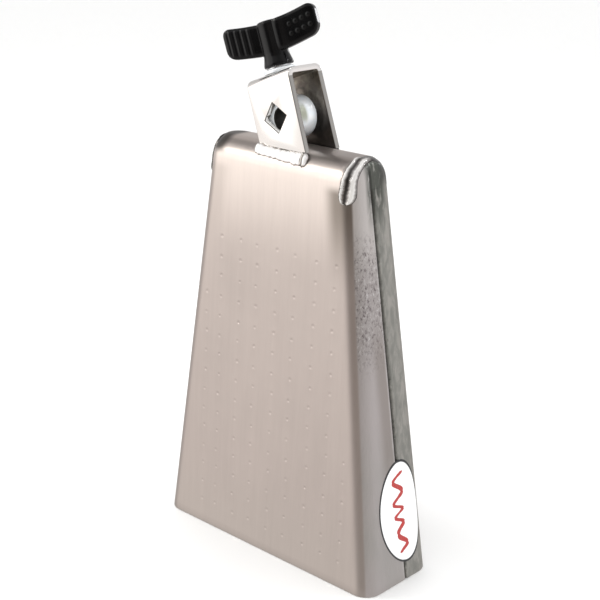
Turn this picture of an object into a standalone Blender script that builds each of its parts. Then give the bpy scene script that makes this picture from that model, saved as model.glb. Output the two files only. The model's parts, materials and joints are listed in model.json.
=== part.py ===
"""Mountable cowbell: a folded and welded sheet-steel bell with a rod bracket, eye bolt and wing nut.

Dimensions are in millimetres; the model is built in metres, +Z up.
The origin is the centre of the mouth plane. The broad striking face looks along -Y (the front),
the narrow side that carries the label looks along +X (the right), and the rod bracket stands
on the crown.
"""

import math

import bpy
from mathutils import Vector

MM = 0.001

GAP = 0.3               # clearance between pieces that touch

# Bell body: one blank folded over the crown, flanges turned in at both narrow sides
BELL_HEIGHT = 203.0
MOUTH_WIDTH, MOUTH_DEPTH = 140.8, 47.7
CROWN_WIDTH, CROWN_DEPTH = 91.7, 27.0
FOLD_RADIUS = 10.1      # outside radius of the fold over the crown
FOLD_Z = BELL_HEIGHT - FOLD_RADIUS
CORNER_RADIUS = 9.0     # outside radius of the four upright bends
END_RADIUS = 3.0        # rounding where the crown meets the narrow sides
MIN_END_RADIUS = 0.6    # the least it shrinks to on the inside
WALL = 1.5

# Rod bracket: a strap bent into an inverted U that leans towards -X
LEAN = 18.0             # of the plates, degrees
BOLT_LEAN = 20.6        # of the web's normal, the bolt and the nut
HOLE_CENTRE = (-3.5, 0.0, 216.1)
STRAP_WIDTH = 28.0
STRAP_THICKNESS = 2.9
STRAP_TOP = 20.0        # top of the web above the hole centre, along the lean
STRAP_BOTTOM = -26.0    # ends of the profile, before the feet are trimmed level
STRAP_BEND = 3.8        # outside radius of the two bends
FRONT_PLATE_Y = -11.0   # outer face of the front plate
BACK_PLATE_Y = (11.4, 12.3)     # outer face of the back plate at the bend and at STRAP_BOTTOM
FRONT_FOOT_Z, BACK_FOOT_Z = 202.3, 201.8
DIAMOND_SIDE = 10.2     # takes a 3/8 in rod
BOLT_HOLE_RADIUS = 3.8

# Eye bolt, 1/4 in
EYE_DROP = 1.0          # the eye hangs this far under the centre of the diamond holes
EYE_RADIUS, EYE_BORE = 10.5, 5.4
EYE_HALF_WIDTH = 6.8
EYE_CHAMFER = 0.7
SHANK_RADIUS = 3.1
SHANK_TOP = 34.2
SHANK_CHAMFER = 0.7
SHANK_OVERLAP = 1.3     # how far the shank runs into the eye

# Washer, insert and wing nut; heights are above the hole centre along the bolt
WASHER_BOTTOM = STRAP_TOP + GAP
WASHER_TOP = WASHER_BOTTOM + 1.6
WASHER_OUTER, WASHER_INNER = 7.6, 3.6
WASHER_CHAMFER = 0.25
INSERT_BOTTOM, INSERT_TOP = WASHER_TOP + GAP, 35.0
INSERT_FLANGE_RADIUS, INSERT_FLANGE_TOP = 6.0, 22.8
INSERT_RADIUS, INSERT_BORE = 4.5, 3.4
INSERT_CHAMFER = 0.4
NUT_TURN = 24.0
HUB_BOTTOM, HUB_TOP = INSERT_FLANGE_TOP + GAP, 44.3
HUB_FOOT_RADIUS, HUB_RADIUS = 7.0, 5.9
HUB_WAIST = 29.4
HUB_CHAMFER = 1.0
NUT_BORE_TOP = 43.2
NUT_BORE_CLEARANCE = 0.5    # round the shank


# ---------------------------------------------------------------- shared helpers

def clear_scene():
    for obj in list(bpy.data.objects):
        bpy.data.objects.remove(obj, do_unlink=True)


def material(name, color, roughness, metallic):
    mat = bpy.data.materials.new(name)
    mat.use_nodes = True
    bsdf = mat.node_tree.nodes["Principled BSDF"]
    bsdf.inputs["Base Color"].default_value = (*color, 1.0)
    bsdf.inputs["Roughness"].default_value = roughness
    bsdf.inputs["Metallic"].default_value = metallic
    mat.diffuse_color = (*color, 1.0)
    return mat


def new_object(name, shape, mat=None, parent=None, smooth_angle=35.0):
    """Mesh object from a shape: points in millimetres in the parent's frame, and faces."""
    points, faces = shape
    mesh = bpy.data.meshes.new(name)
    mesh.from_pydata([[c * MM for c in point] for point in points], [], faces)
    mesh.validate()
    mesh.update()
    obj = bpy.data.objects.new(name, mesh)
    bpy.context.collection.objects.link(obj)
    if mat is not None:
        mesh.materials.append(mat)
    obj.parent = parent
    mesh.shade_smooth()
    mesh.set_sharp_from_angle(angle=math.radians(smooth_angle))
    return obj


def axis_empty(name, location, rotation, parent=None):
    obj = bpy.data.objects.new(name, None)
    bpy.context.collection.objects.link(obj)
    obj.location = [c * MM for c in location]
    obj.rotation_euler = [math.radians(angle) for angle in rotation]
    obj.parent = parent
    return obj


def add_boolean(target, operation, name, shape, parent=None):
    """Apply a shape to the target through a hidden helper object."""
    helper = new_object(name, shape, parent=parent)
    helper.hide_render = True
    helper.display_type = "WIRE"
    mod = target.modifiers.new(name, "BOOLEAN")
    mod.operation = operation
    mod.solver = "EXACT"
    mod.object = helper


def loft(rings, closed_path=False):
    """Tube through rings of equally many points, capped unless its path closes on itself."""
    count = len(rings[0])
    points = [point for ring in rings for point in ring]
    faces = []
    spans = len(rings) if closed_path else len(rings) - 1
    for i in range(spans):
        here, there = i * count, ((i + 1) % len(rings)) * count
        for j in range(count):
            k = (j + 1) % count
            faces.append((here + j, here + k, there + k, there + j))
    if not closed_path:
        faces.append(tuple(range(count - 1, -1, -1)))
        faces.append(tuple(range(spans * count, len(points))))
    return points, faces


def turned(profile, segments, closed_profile=False):
    """Solid of revolution about Z from (radius, z) pairs that run upwards on the outside."""
    angles = [2 * math.pi * i / segments for i in range(segments)]
    rings = [[(radius * math.cos(angle), radius * math.sin(angle), z) for angle in angles]
             for radius, z in profile]
    return loft(rings, closed_path=closed_profile)


def box(x_range, y_range, z_range):
    points = [(x, y, z) for z in z_range for y in y_range for x in x_range]
    faces = [(0, 2, 3, 1), (4, 5, 7, 6), (0, 1, 5, 4), (2, 6, 7, 3), (0, 4, 6, 2), (1, 3, 7, 5)]
    return points, faces


def lerp(start, stop, t):
    return start + (stop - start) * t


def smoothstep(t):
    t = min(1.0, max(0.0, t))
    return t * t * (3 - 2 * t)


def arc(centre, radius, start, stop, steps):
    """Points of a plane arc between two angles in degrees, both ends included."""
    points = []
    for i in range(steps + 1):
        angle = math.radians(lerp(start, stop, i / steps))
        points.append((centre[0] + radius * math.cos(angle), centre[1] + radius * math.sin(angle)))
    return points


def rounded_rectangle(left, right, bottom, top, radius, steps):
    """Anticlockwise plane outline, from the right end of the upper right corner."""
    left, right = left + radius, right - radius
    bottom, top = bottom + radius, top - radius
    centres = ((right, top), (left, top), (left, bottom), (right, bottom))
    outline = []
    for i, centre in enumerate(centres):
        outline += arc(centre, radius, 90 * i, 90 * (i + 1), steps)
    return outline


def round_off(radius, distance):
    """How far a rounded edge has drawn in at this distance from its end."""
    reach = radius - min(radius, max(0.0, distance))
    return radius - math.sqrt(radius ** 2 - reach ** 2)


def ripple(step, waves):
    """Sum of sine waves along a bead, each (amplitude, rate per step, phase)."""
    return sum(amplitude * math.sin(rate * step + phase) for amplitude, rate, phase in waves)


def end_taper(step, last, start, rise):
    """Factor that climbs from start to 1 over the first steps and falls again over the last."""
    return min(1.0, start + rise * min(step, last - step))


# ---------------------------------------------------------------- bell body

CORNER_STEPS = 6
WALL_STEPS = 7
FOLD_ANGLES = (0, 14, 28, 41, 53, 63, 72, 81, 90)   # closer together towards the top

# Seam between the front and back flanges, on both narrow sides: y of its (front, back) edges
SEAM_TOP_Z = 190.0
SEAM_MOUTH_Y = (4.0, 8.5)
SEAM_TOP_Y = (-3.0, 2.7)
SLOT_BOTTOM_Z = -6.0
SLOT_REACH = 5.0            # to either side of the narrow side's surface

SIDES = (("right", 1), ("left", -1))


def half_width(z):
    return lerp(MOUTH_WIDTH, CROWN_WIDTH, z / BELL_HEIGHT) / 2


def half_depth(z):
    return lerp(MOUTH_DEPTH, CROWN_DEPTH, z / BELL_HEIGHT) / 2


def bell_size(z, inset=0.0):
    """Half width, half depth and corner radius of the bell at height z, moved inwards by inset."""
    below_top = BELL_HEIGHT - inset - z
    depth = half_depth(z) - inset - round_off(FOLD_RADIUS - inset, below_top)
    end_radius = max(END_RADIUS - inset, MIN_END_RADIUS)
    width = half_width(z) - inset - round_off(end_radius, below_top)
    return width, depth, min(CORNER_RADIUS - inset, depth - 0.02)


def bell_ring(z, inset):
    width, depth, radius = bell_size(z, inset)
    outline = rounded_rectangle(-width, width, -depth, depth, radius, CORNER_STEPS)
    return [(x, y, z) for x, y in outline]


def bell_heights(inset):
    """Ring heights up the walls and over the fold."""
    walls = [FOLD_Z * i / WALL_STEPS for i in range(WALL_STEPS)]
    fold = FOLD_RADIUS - inset
    return walls + [FOLD_Z + fold * math.sin(math.radians(angle)) for angle in FOLD_ANGLES]


def seam_edges(z):
    """Front and back edge of the seam at height z."""
    return [lerp(mouth, top, z / SEAM_TOP_Z) for mouth, top in zip(SEAM_MOUTH_Y, SEAM_TOP_Y)]


def seam_slot(side):
    """Wedge that opens the seam through the wall; side is 1 at +X and -1 at -X."""
    points = []
    for z in (SLOT_BOTTOM_Z, SEAM_TOP_Z):
        for reach in (-SLOT_REACH, SLOT_REACH):
            points += [(side * (half_width(z) + reach), y, z) for y in seam_edges(z)]
    faces = [(0, 1, 3, 2), (4, 6, 7, 5), (0, 4, 5, 1), (2, 3, 7, 6), (0, 2, 6, 4), (1, 5, 7, 3)]
    if side < 0:
        faces = [face[::-1] for face in faces]
    return points, faces


def bell_shell(mat):
    """Down the inside from the crown, then up the outside."""
    rings = [bell_ring(z, WALL) for z in reversed(bell_heights(WALL))]
    rings += [bell_ring(z, 0.0) for z in bell_heights(0.0)]
    shell = new_object("bell_shell", loft(rings), mat)
    for name, side in SIDES:
        add_boolean(shell, "DIFFERENCE", "slot_" + name, seam_slot(side))


# ---------------------------------------------------------------- seam welds

SEAM_STEPS = 24
SEAM_WELD_BOTTOM = 0.6
SEAM_RECESS = 0.5           # of the weld's face under the bell's surface
SEAM_THICKNESS = 1.3
SEAM_EDGE_DROP = 0.3        # of the face at its two edges
SEAM_BACK_LIFT = 0.1        # of the face's back ridge over its front one
SEAM_RIDGES = (-0.9, 0.7)   # y of the two ridges from the middle of the seam
SEAM_SWELL = ((0.12, 1.9, 0.0), (0.08, 3.1, 1.0))   # waves of the face


def seam_weld(name, side, mat):
    """Weld metal between the two flanges, a little under the surface, with a rippled face."""
    rings = []
    for i in range(SEAM_STEPS + 1):
        z = lerp(SEAM_WELD_BOTTOM, SEAM_TOP_Z - GAP, i / SEAM_STEPS)
        front, back = seam_edges(z)
        front, back = front + GAP, back - GAP
        middle = (front + back) / 2
        face = half_width(z) - SEAM_RECESS
        ridge = face + ripple(i, SEAM_SWELL)
        section = [
            (face - SEAM_EDGE_DROP, front),
            (ridge, middle + SEAM_RIDGES[0]),
            (ridge + SEAM_BACK_LIFT, middle + SEAM_RIDGES[1]),
            (face - SEAM_EDGE_DROP, back),
            (face - SEAM_THICKNESS, back),
            (face - SEAM_THICKNESS, front),
        ]
        rings.append([(side * x, y, z) for x, y in section[::side]])
    new_object(name, loft(rings), mat)


# ---------------------------------------------------------------- crown welds

# The beads are laid out by rays from a line inside the crown. The end angle turns a ray from the
# face towards the narrow side; the crown angle turns it from the front over the top to the back.
CROWN_SPINE_X = 36.0
CROWN_BEAD_ANGLES = {1: (15.0, 48.0), -1: (42.0, 66.0)}     # the left bead is further round the end
CROWN_FOOT_ANGLES = {1: (5.0, 44.0), -1: (40.0, 62.0)}      # the same at the front end of the bead
CROWN_FOOT_STEPS = 7                    # stations over which the foot angles fade out
CROWN_FOOT_FADE = 1.5                   # exponent of that fade

# Ray origin heights up the front and down the back, and crown angles between them
CROWN_FRONT_HEIGHTS = (184.0, 185.4, 187.5, 190.2)
CROWN_BACK_HEIGHTS = (191.2, 189.5)
CROWN_FOLD_ANGLES = (0, 13, 26, 39, 52, 65, 78, 90, 102, 115, 128, 141, 154, 167, 180)

CROWN_BEAD_HEIGHT = 0.75
CROWN_BEAD_EDGE = 0.2                   # thickness at the edges
CROWN_BEAD_RIDGE = (0.0, 0.62, 1.0, 0.78, 0.5, 0.72, 0.95, 0.6, 0.0)    # double bead, edge to edge
CROWN_TAPER_START, CROWN_TAPER_RISE = 0.42, 0.3
CROWN_TAPER_WIDTH_GAIN = 0.12           # the width tapers less than the height
CROWN_BACK_LOSS = 0.45                  # share of the height lost towards the back
CROWN_LOSS_START, CROWN_LOSS_SPAN = 70, 60  # crown angles over which it is lost
CROWN_LUMP = 0.16                       # relative height of the lumps
CROWN_LUMP_ALONG, CROWN_LUMP_ACROSS = 2.3, 1.3
CROWN_PROBE_Z, CROWN_PROBE_ANGLE = 0.4, 0.02    # offsets (mm, radians) used to find the normal

RAY_LENGTH = 40.0
RAY_HALVINGS = 44


def inside_bell(x, y, z):
    if z > BELL_HEIGHT:
        return False
    width, depth, radius = bell_size(z)
    x, y = abs(x), abs(y)
    if x > width or y > depth:
        return False
    if x > width - radius and y > depth - radius:
        return math.hypot(x - (width - radius), y - (depth - radius)) <= radius
    return True


def surface_point(origin, direction):
    """Where a ray from inside the bell leaves its outer surface."""
    near, far = 0.0, RAY_LENGTH
    for _ in range(RAY_HALVINGS):
        middle = (near + far) / 2
        if inside_bell(*(o + d * middle for o, d in zip(origin, direction))):
            near = middle
        else:
            far = middle
    return Vector([o + d * near for o, d in zip(origin, direction)])


def crown_point(z, end_angle, crown_angle):
    """Point of the bell's surface on a ray from height z; angles in radians."""
    spread = math.cos(end_angle)
    ray = (math.sin(end_angle), -spread * math.cos(crown_angle), spread * math.sin(crown_angle))
    return surface_point((CROWN_SPINE_X, 0.0, z), ray)


def crown_normal(z, end_angle, crown_angle, here, on_face):
    """Outward normal of the bell's surface at the point here."""
    if on_face:
        along = (crown_point(z + CROWN_PROBE_Z, end_angle, crown_angle)
                 - crown_point(z - CROWN_PROBE_Z, end_angle, crown_angle))
    else:
        along = (crown_point(z, end_angle, crown_angle + CROWN_PROBE_ANGLE)
                 - crown_point(z, end_angle, crown_angle - CROWN_PROBE_ANGLE))
    across = (crown_point(z, end_angle + CROWN_PROBE_ANGLE, crown_angle)
              - crown_point(z, end_angle - CROWN_PROBE_ANGLE, crown_angle))
    normal = across.cross(along).normalized()
    if normal.dot(here - Vector((CROWN_SPINE_X, 0.0, z))) < 0:
        normal = -normal
    return normal


def crown_weld(name, side, mat):
    """Double bead that closes the end of the crown and follows its profile."""
    stations = [(z, 0) for z in CROWN_FRONT_HEIGHTS]
    stations += [(FOLD_Z, degrees) for degrees in CROWN_FOLD_ANGLES]
    stations += [(z, 180) for z in CROWN_BACK_HEIGHTS]
    rings = []
    for i, (z, degrees) in enumerate(stations):
        crown_angle = math.radians(degrees)
        foot = max(0.0, 1 - i / CROWN_FOOT_STEPS) ** CROWN_FOOT_FADE
        low, high = [math.radians(lerp(bead_angle, foot_angle, foot)) for bead_angle, foot_angle
                     in zip(CROWN_BEAD_ANGLES[side], CROWN_FOOT_ANGLES[side])]
        taper = end_taper(i, len(stations) - 1, CROWN_TAPER_START, CROWN_TAPER_RISE)
        loss = min(1.0, max(0.0, (degrees - CROWN_LOSS_START) / CROWN_LOSS_SPAN))
        height = CROWN_BEAD_HEIGHT * taper * (1 - CROWN_BACK_LOSS * loss)
        half_spread = (high - low) / 2 * min(1.0, taper + CROWN_TAPER_WIDTH_GAIN)
        under, over = [], []
        for j, ridge in enumerate(CROWN_BEAD_RIDGE):
            across = -1 + 2 * j / (len(CROWN_BEAD_RIDGE) - 1)
            end_angle = (low + high) / 2 + half_spread * across
            here = crown_point(z, end_angle, crown_angle)
            normal = crown_normal(z, end_angle, crown_angle, here, on_face=degrees in (0, 180))
            lump = 1 + CROWN_LUMP * math.sin(CROWN_LUMP_ALONG * i + CROWN_LUMP_ACROSS * j)
            under.append(here + normal * GAP)
            over.append(here + normal * (GAP + CROWN_BEAD_EDGE + height * ridge * lump))
        ring = [(side * x, y, ring_z) for x, y, ring_z in under + over[::-1]]
        rings.append(ring[::-side])
    new_object(name, loft(rings), mat)


# ---------------------------------------------------------------- bracket

STRAP_BEND_STEPS = 6


def strap_profile():
    """Outline of the inverted U in (y, z) from the hole centre, clockwise seen from +X."""
    back, back_foot = BACK_PLATE_Y
    bend_z = STRAP_TOP - STRAP_BEND
    front_bend = (FRONT_PLATE_Y + STRAP_BEND, bend_z)
    back_bend = (back - STRAP_BEND, bend_z)
    inner_bend = STRAP_BEND - STRAP_THICKNESS
    return [
        (FRONT_PLATE_Y, STRAP_BOTTOM),
        *arc(front_bend, STRAP_BEND, 180, 90, STRAP_BEND_STEPS),
        *arc(back_bend, STRAP_BEND, 90, 0, STRAP_BEND_STEPS),
        (back_foot, STRAP_BOTTOM),
        (back_foot - STRAP_THICKNESS, STRAP_BOTTOM),
        *arc(back_bend, inner_bend, 0, 90, STRAP_BEND_STEPS),
        *arc(front_bend, inner_bend, 90, 180, STRAP_BEND_STEPS),
        (FRONT_PLATE_Y + STRAP_THICKNESS, STRAP_BOTTOM),
    ]


def mount_bracket(mat, strap_axis, bolt_axis):
    """U strap whose web slopes a little more than its plates lean."""
    slope = math.tan(math.radians(BOLT_LEAN - LEAN))
    rings = [[(x, y, z + (x * slope if z > 0 else 0.0)) for y, z in strap_profile()]
             for x in (-STRAP_WIDTH / 2, STRAP_WIDTH / 2)]
    bracket = new_object("mount_bracket", loft(rings), mat, strap_axis, smooth_angle=30.0)

    reach = DIAMOND_SIDE / math.sqrt(2)
    diamond = [(reach, 0.0), (0.0, reach), (-reach, 0.0), (0.0, -reach)]
    diamond_bar = loft([[(x, y, z) for x, z in diamond] for y in (20.0, -20.0)])
    add_boolean(bracket, "DIFFERENCE", "diamond_cutter", diamond_bar, strap_axis)

    bolt_hole = turned([(BOLT_HOLE_RADIUS, 12.0), (BOLT_HOLE_RADIUS, 30.0)], 32)
    add_boolean(bracket, "DIFFERENCE", "bolt_hole_cutter", bolt_hole, bolt_axis)

    # Each plate ends level, at its own height
    feet = (("front", (-40.0, 0.0), FRONT_FOOT_Z), ("back", (0.0, 40.0), BACK_FOOT_Z))
    for name, y_range, foot_z in feet:
        below = box((-60.0, 60.0), y_range, (150.0, foot_z))
        add_boolean(bracket, "DIFFERENCE", name + "_foot_cutter", below)


# Fillet welds at the feet of the two plates
FOOT_WELD_X = (-15.9, 17.3)
FOOT_WELD_TOP, FOOT_WELD_BOTTOM = 203.7, 196.2
FOOT_WELD_FACES = {-1: -FRONT_PLATE_Y, 1: BACK_PLATE_Y[1] - 0.2}    # plate faces, off the middle
FOOT_WELD_STEPS = 20
FOOT_WELD_FIT = 0.08            # extra clearance over the fold
FOOT_WELD_UNDER_STEPS = 4       # along the fold
FOOT_WELD_BULGE_STEPS = 6       # across the bulging face
FOOT_WELD_BULGE = 1.9
FOOT_WELD_BULGE_POWER = 0.7     # below 1 makes the face fuller
FOOT_WELD_PUSH = (0.93, 0.3)    # direction of the bulge, outwards and up
FOOT_TAPER_START, FOOT_TAPER_RISE = 0.45, 0.32
FOOT_TAPER_NARROWING = 2.0      # how fast both edges close in as the bead tapers
FOOT_LEFT_RISE = 1.1            # lift of the lower edge at the -X end
FOOT_TOP_SAG = 0.7              # dip of the upper edge in the middle
FOOT_LUMPS = ((0.35, 1.7, 0.0), (0.22, 3.9, 0.8))
FOOT_BOTTOM_WAVE = ((0.3, 2.1, 1.0),)
FOOT_TOP_WAVE = ((0.15, 1.3, 0.0),)


def foot_weld_section(i, face_y):
    """Section (y, z) of the bead at step i, for a plate face on the +Y side."""
    along = i / FOOT_WELD_STEPS
    taper = end_taper(i, FOOT_WELD_STEPS, FOOT_TAPER_START, FOOT_TAPER_RISE)
    narrowing = (1 - taper) * FOOT_TAPER_NARROWING
    bottom = (FOOT_WELD_BOTTOM + ripple(i, FOOT_BOTTOM_WAVE) + narrowing
              + FOOT_LEFT_RISE * (1 - along))
    top = (FOOT_WELD_TOP - narrowing + ripple(i, FOOT_TOP_WAVE)
           - FOOT_TOP_SAG * math.sin(math.pi * along))

    fold_y = half_depth(FOLD_Z) - FOLD_RADIUS
    radius = FOLD_RADIUS + GAP + FOOT_WELD_FIT
    start = math.degrees(math.asin(max(-1.0, min(1.0, (bottom - FOLD_Z) / radius))))
    stop = math.degrees(math.acos((face_y - fold_y) / radius))
    under = arc((fold_y, FOLD_Z), radius, start, stop, FOOT_WELD_UNDER_STEPS)

    bulge = (FOOT_WELD_BULGE + ripple(i, FOOT_LUMPS)) * taper
    low_y, low_z = under[0]
    outer = []
    for k in range(1, FOOT_WELD_BULGE_STEPS):
        t = k / FOOT_WELD_BULGE_STEPS
        push = bulge * math.sin(math.pi * t) ** FOOT_WELD_BULGE_POWER
        outer.append((lerp(low_y, face_y, t) + push * FOOT_WELD_PUSH[0],
                      lerp(low_z, top, t) + push * FOOT_WELD_PUSH[1]))
    return under + [(face_y, top)] + outer[::-1]


def bracket_weld(name, side, mat):
    """Fillet bead between a plate's foot and the crown's fold; side is -1 at the front."""
    rings = []
    for i in range(FOOT_WELD_STEPS + 1):
        x = lerp(*FOOT_WELD_X, i / FOOT_WELD_STEPS)
        section = foot_weld_section(i, FOOT_WELD_FACES[side] + GAP)
        rings.append([(x, side * y, z) for y, z in section[::-side]])
    new_object(name, loft(rings), mat)


# ---------------------------------------------------------------- eye bolt, washer, insert

def eye_bolt(mat, axis):
    """Wide eye whose bore runs along Y, with a plain shank of the thread's size."""
    width = EYE_HALF_WIDTH
    half = [    # radius, distance along the bore
        (EYE_BORE, EYE_CHAMFER - width),
        (EYE_BORE + EYE_CHAMFER, -width),
        (EYE_RADIUS - 1.0, -width),
        (EYE_RADIUS - 0.3, EYE_CHAMFER - width),
        (EYE_RADIUS - 0.08, -width / 2),
    ]
    profile = half + [(EYE_RADIUS, 0.0)] + [(radius, -y) for radius, y in reversed(half)]
    points, faces = turned(profile, 40, closed_profile=True)
    points = [(y, z, x - EYE_DROP) for x, y, z in points]
    bolt = new_object("eye_bolt", (points, faces), mat, axis)
    shank = [
        (SHANK_RADIUS, EYE_RADIUS - EYE_DROP - SHANK_OVERLAP),
        (SHANK_RADIUS, SHANK_TOP - SHANK_CHAMFER),
        (SHANK_RADIUS - SHANK_CHAMFER, SHANK_TOP),
    ]
    add_boolean(bolt, "UNION", "shank_tool", turned(shank, 24), axis)


def flat_washer(mat, axis):
    profile = [
        (WASHER_INNER, WASHER_BOTTOM),
        (WASHER_OUTER - WASHER_CHAMFER, WASHER_BOTTOM),
        (WASHER_OUTER, WASHER_BOTTOM + WASHER_CHAMFER),
        (WASHER_OUTER, WASHER_TOP - WASHER_CHAMFER),
        (WASHER_OUTER - WASHER_CHAMFER, WASHER_TOP),
        (WASHER_INNER, WASHER_TOP),
    ]
    new_object("flat_washer", turned(profile, 36, closed_profile=True), mat, axis)


def wing_nut_insert(mat, axis):
    """Flanged sleeve inside the wing nut."""
    profile = [
        (INSERT_BORE + INSERT_CHAMFER, INSERT_BOTTOM),
        (INSERT_FLANGE_RADIUS, INSERT_BOTTOM),
        (INSERT_FLANGE_RADIUS, INSERT_FLANGE_TOP),
        (INSERT_RADIUS, INSERT_FLANGE_TOP),
        (INSERT_RADIUS, INSERT_TOP),
        (INSERT_BORE, INSERT_TOP),
        (INSERT_BORE, INSERT_BOTTOM + INSERT_CHAMFER),
    ]
    new_object("wing_nut_insert", turned(profile, 32, closed_profile=True), mat, axis)


# ---------------------------------------------------------------- wing nut

WING_HALF_SPAN = 24.5
WING_ROOT_TOP = 44.0
WING_TIP_TOP, WING_TIP_BOTTOM = 47.2, 32.4
WING_TOP_CURVE, WING_BOTTOM_CURVE = 1.8, 1.2    # exponents of the rise towards the tips
WING_ROOT_X = 6.0           # the lower edge rises from here
WING_HALF_THICKNESS = 2.5
WING_OFFSET = 2.4           # the wings are set to opposite sides of the axis
WING_CROSSOVER_X = 6.5      # the offset changes over between -x and +x of this
WING_CORNER = 4.5
WING_END_RADIUS = 2.3
WING_EDGE_RADIUS = 1.3
RIB_POSITIONS = (11.0, 14.1, 17.3, 20.4)
RIB_HEIGHT = 0.5
RIB_HALF_TOP, RIB_FLANK = 0.25, 0.55
TIP_STATIONS = (0.04, 0.3, 0.8, 1.5, 2.4, 3.4)  # distances from the tip
ROOT_STATIONS = (2.2, 4.4, 6.5, 8.2)            # distances from the axis


def wing_section(x):
    """Closed outline of the wings at station x along the span."""
    distance = abs(x)
    left_over = WING_HALF_SPAN - distance
    corner = round_off(WING_CORNER, left_over)
    top = lerp(WING_ROOT_TOP, WING_TIP_TOP, (distance / WING_HALF_SPAN) ** WING_TOP_CURVE) - corner
    rise = max(0.0, (distance - WING_ROOT_X) / (WING_HALF_SPAN - WING_ROOT_X)) ** WING_BOTTOM_CURVE
    bottom = lerp(HUB_WAIST, WING_TIP_BOTTOM, rise) + corner
    crossover = smoothstep((x + WING_CROSSOVER_X) / (2 * WING_CROSSOVER_X))
    offset = WING_OFFSET * (1 - 2 * crossover)
    half = WING_HALF_THICKNESS - round_off(WING_END_RADIUS, left_over)
    rib = max(RIB_HEIGHT * (1 - smoothstep((abs(distance - position) - RIB_HALF_TOP) / RIB_FLANK))
              for position in RIB_POSITIONS)
    # Each wing has its ribs on the face nearer the axis
    front = offset - half - (rib if x < 0 else 0.0)
    back = offset + half + (rib if x > 0 else 0.0)
    edge_radius = min(WING_EDGE_RADIUS, half * 0.8)
    return [(x, y, z) for y, z in rounded_rectangle(front, back, bottom, top, edge_radius, 3)]


def wing_stations():
    rib_edge = RIB_HALF_TOP + RIB_FLANK
    right = [WING_HALF_SPAN - distance for distance in TIP_STATIONS]
    for position in RIB_POSITIONS:
        right += [position + step for step in (-rib_edge, -RIB_HALF_TOP, RIB_HALF_TOP, rib_edge)]
    right = sorted(right + list(ROOT_STATIONS))
    return [-x for x in reversed(right)] + [0.0] + right


def wing_nut_grip(mat, axis):
    """Two ribbed wings and a waisted hub, bored for the insert and the shank."""
    wings = loft([wing_section(x) for x in wing_stations()])
    grip = new_object("wing_nut_grip", wings, mat, axis)
    hub = [     # radius, height
        (HUB_FOOT_RADIUS - 0.4, HUB_BOTTOM),
        (HUB_FOOT_RADIUS, HUB_BOTTOM + 0.5),
        (HUB_FOOT_RADIUS - 0.25, 25.0),
        (HUB_RADIUS + 0.1, 27.6),
        (HUB_RADIUS, HUB_WAIST),
        (HUB_RADIUS, HUB_TOP - HUB_CHAMFER),
        (HUB_RADIUS - HUB_CHAMFER, HUB_TOP),
    ]
    add_boolean(grip, "UNION", "hub_tool", turned(hub, 36), axis)
    wide, narrow = INSERT_RADIUS + GAP, SHANK_RADIUS + NUT_BORE_CLEARANCE
    step_z = INSERT_TOP + GAP
    bore = [(wide, HUB_BOTTOM - 4.0), (wide, step_z), (narrow, step_z + 0.01),
            (narrow, NUT_BORE_TOP)]
    add_boolean(grip, "DIFFERENCE", "nut_bore_cutter", turned(bore, 32), axis)


# ---------------------------------------------------------------- label

LABEL_CENTRE_Y, LABEL_CENTRE_Z = 2.8, 34.9
LABEL_WIDTH, LABEL_HEIGHT = 28.6, 52.6
LABEL_BOW, LABEL_TILT = 3.0, 1.5    # both tips sit nearer the back, the lower one more so
LABEL_THICKNESS = 0.3
LABEL_SEGMENTS = 40
LABEL_SCALES = (1.0, 0.86, 0.7, 0.5, 0.25)      # rings from the edge inwards


def label_point(lift, scale, angle):
    """Point of the oval, lifted off the bell's flat side or its upright bends."""
    slope = math.atan((MOUTH_WIDTH - CROWN_WIDTH) / 2 / BELL_HEIGHT)
    rise = scale * math.sin(angle)
    y = (LABEL_CENTRE_Y + LABEL_WIDTH / 2 * scale * math.cos(angle)
         + LABEL_BOW * rise ** 2 - LABEL_TILT * rise)
    z = LABEL_CENTRE_Z + LABEL_HEIGHT / 2 * rise * math.cos(slope)
    past_flat = max(0.0, abs(y) - (half_depth(z) - CORNER_RADIUS))
    reach = math.sqrt((CORNER_RADIUS + lift) ** 2 - past_flat ** 2) - CORNER_RADIUS
    return half_width(z) + reach * math.cos(slope), y, z + lift * math.sin(slope)


def side_label(mat):
    """Thin oval laid on the +X side; its back edge follows the bend there."""
    count = LABEL_SEGMENTS
    points = [label_point(lift, scale, 2 * math.pi * i / count)
              for lift in (GAP, GAP + LABEL_THICKNESS) for scale in LABEL_SCALES
              for i in range(count)]
    neighbours = [(i, (i + 1) % count) for i in range(count)]
    lid = len(LABEL_SCALES) * count
    faces = []
    for base, order in ((0, -1), (lid, 1)):     # underside, then outer side
        last = base + lid - count
        for ring in range(base, last, count):
            inner = ring + count
            faces += [(ring + i, ring + j, inner + j, inner + i)[::order] for i, j in neighbours]
        faces.append(tuple(range(last, last + count))[::order])
    faces += [(i, j, lid + j, lid + i) for i, j in neighbours]
    new_object("side_label", (points, faces), mat)


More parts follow.
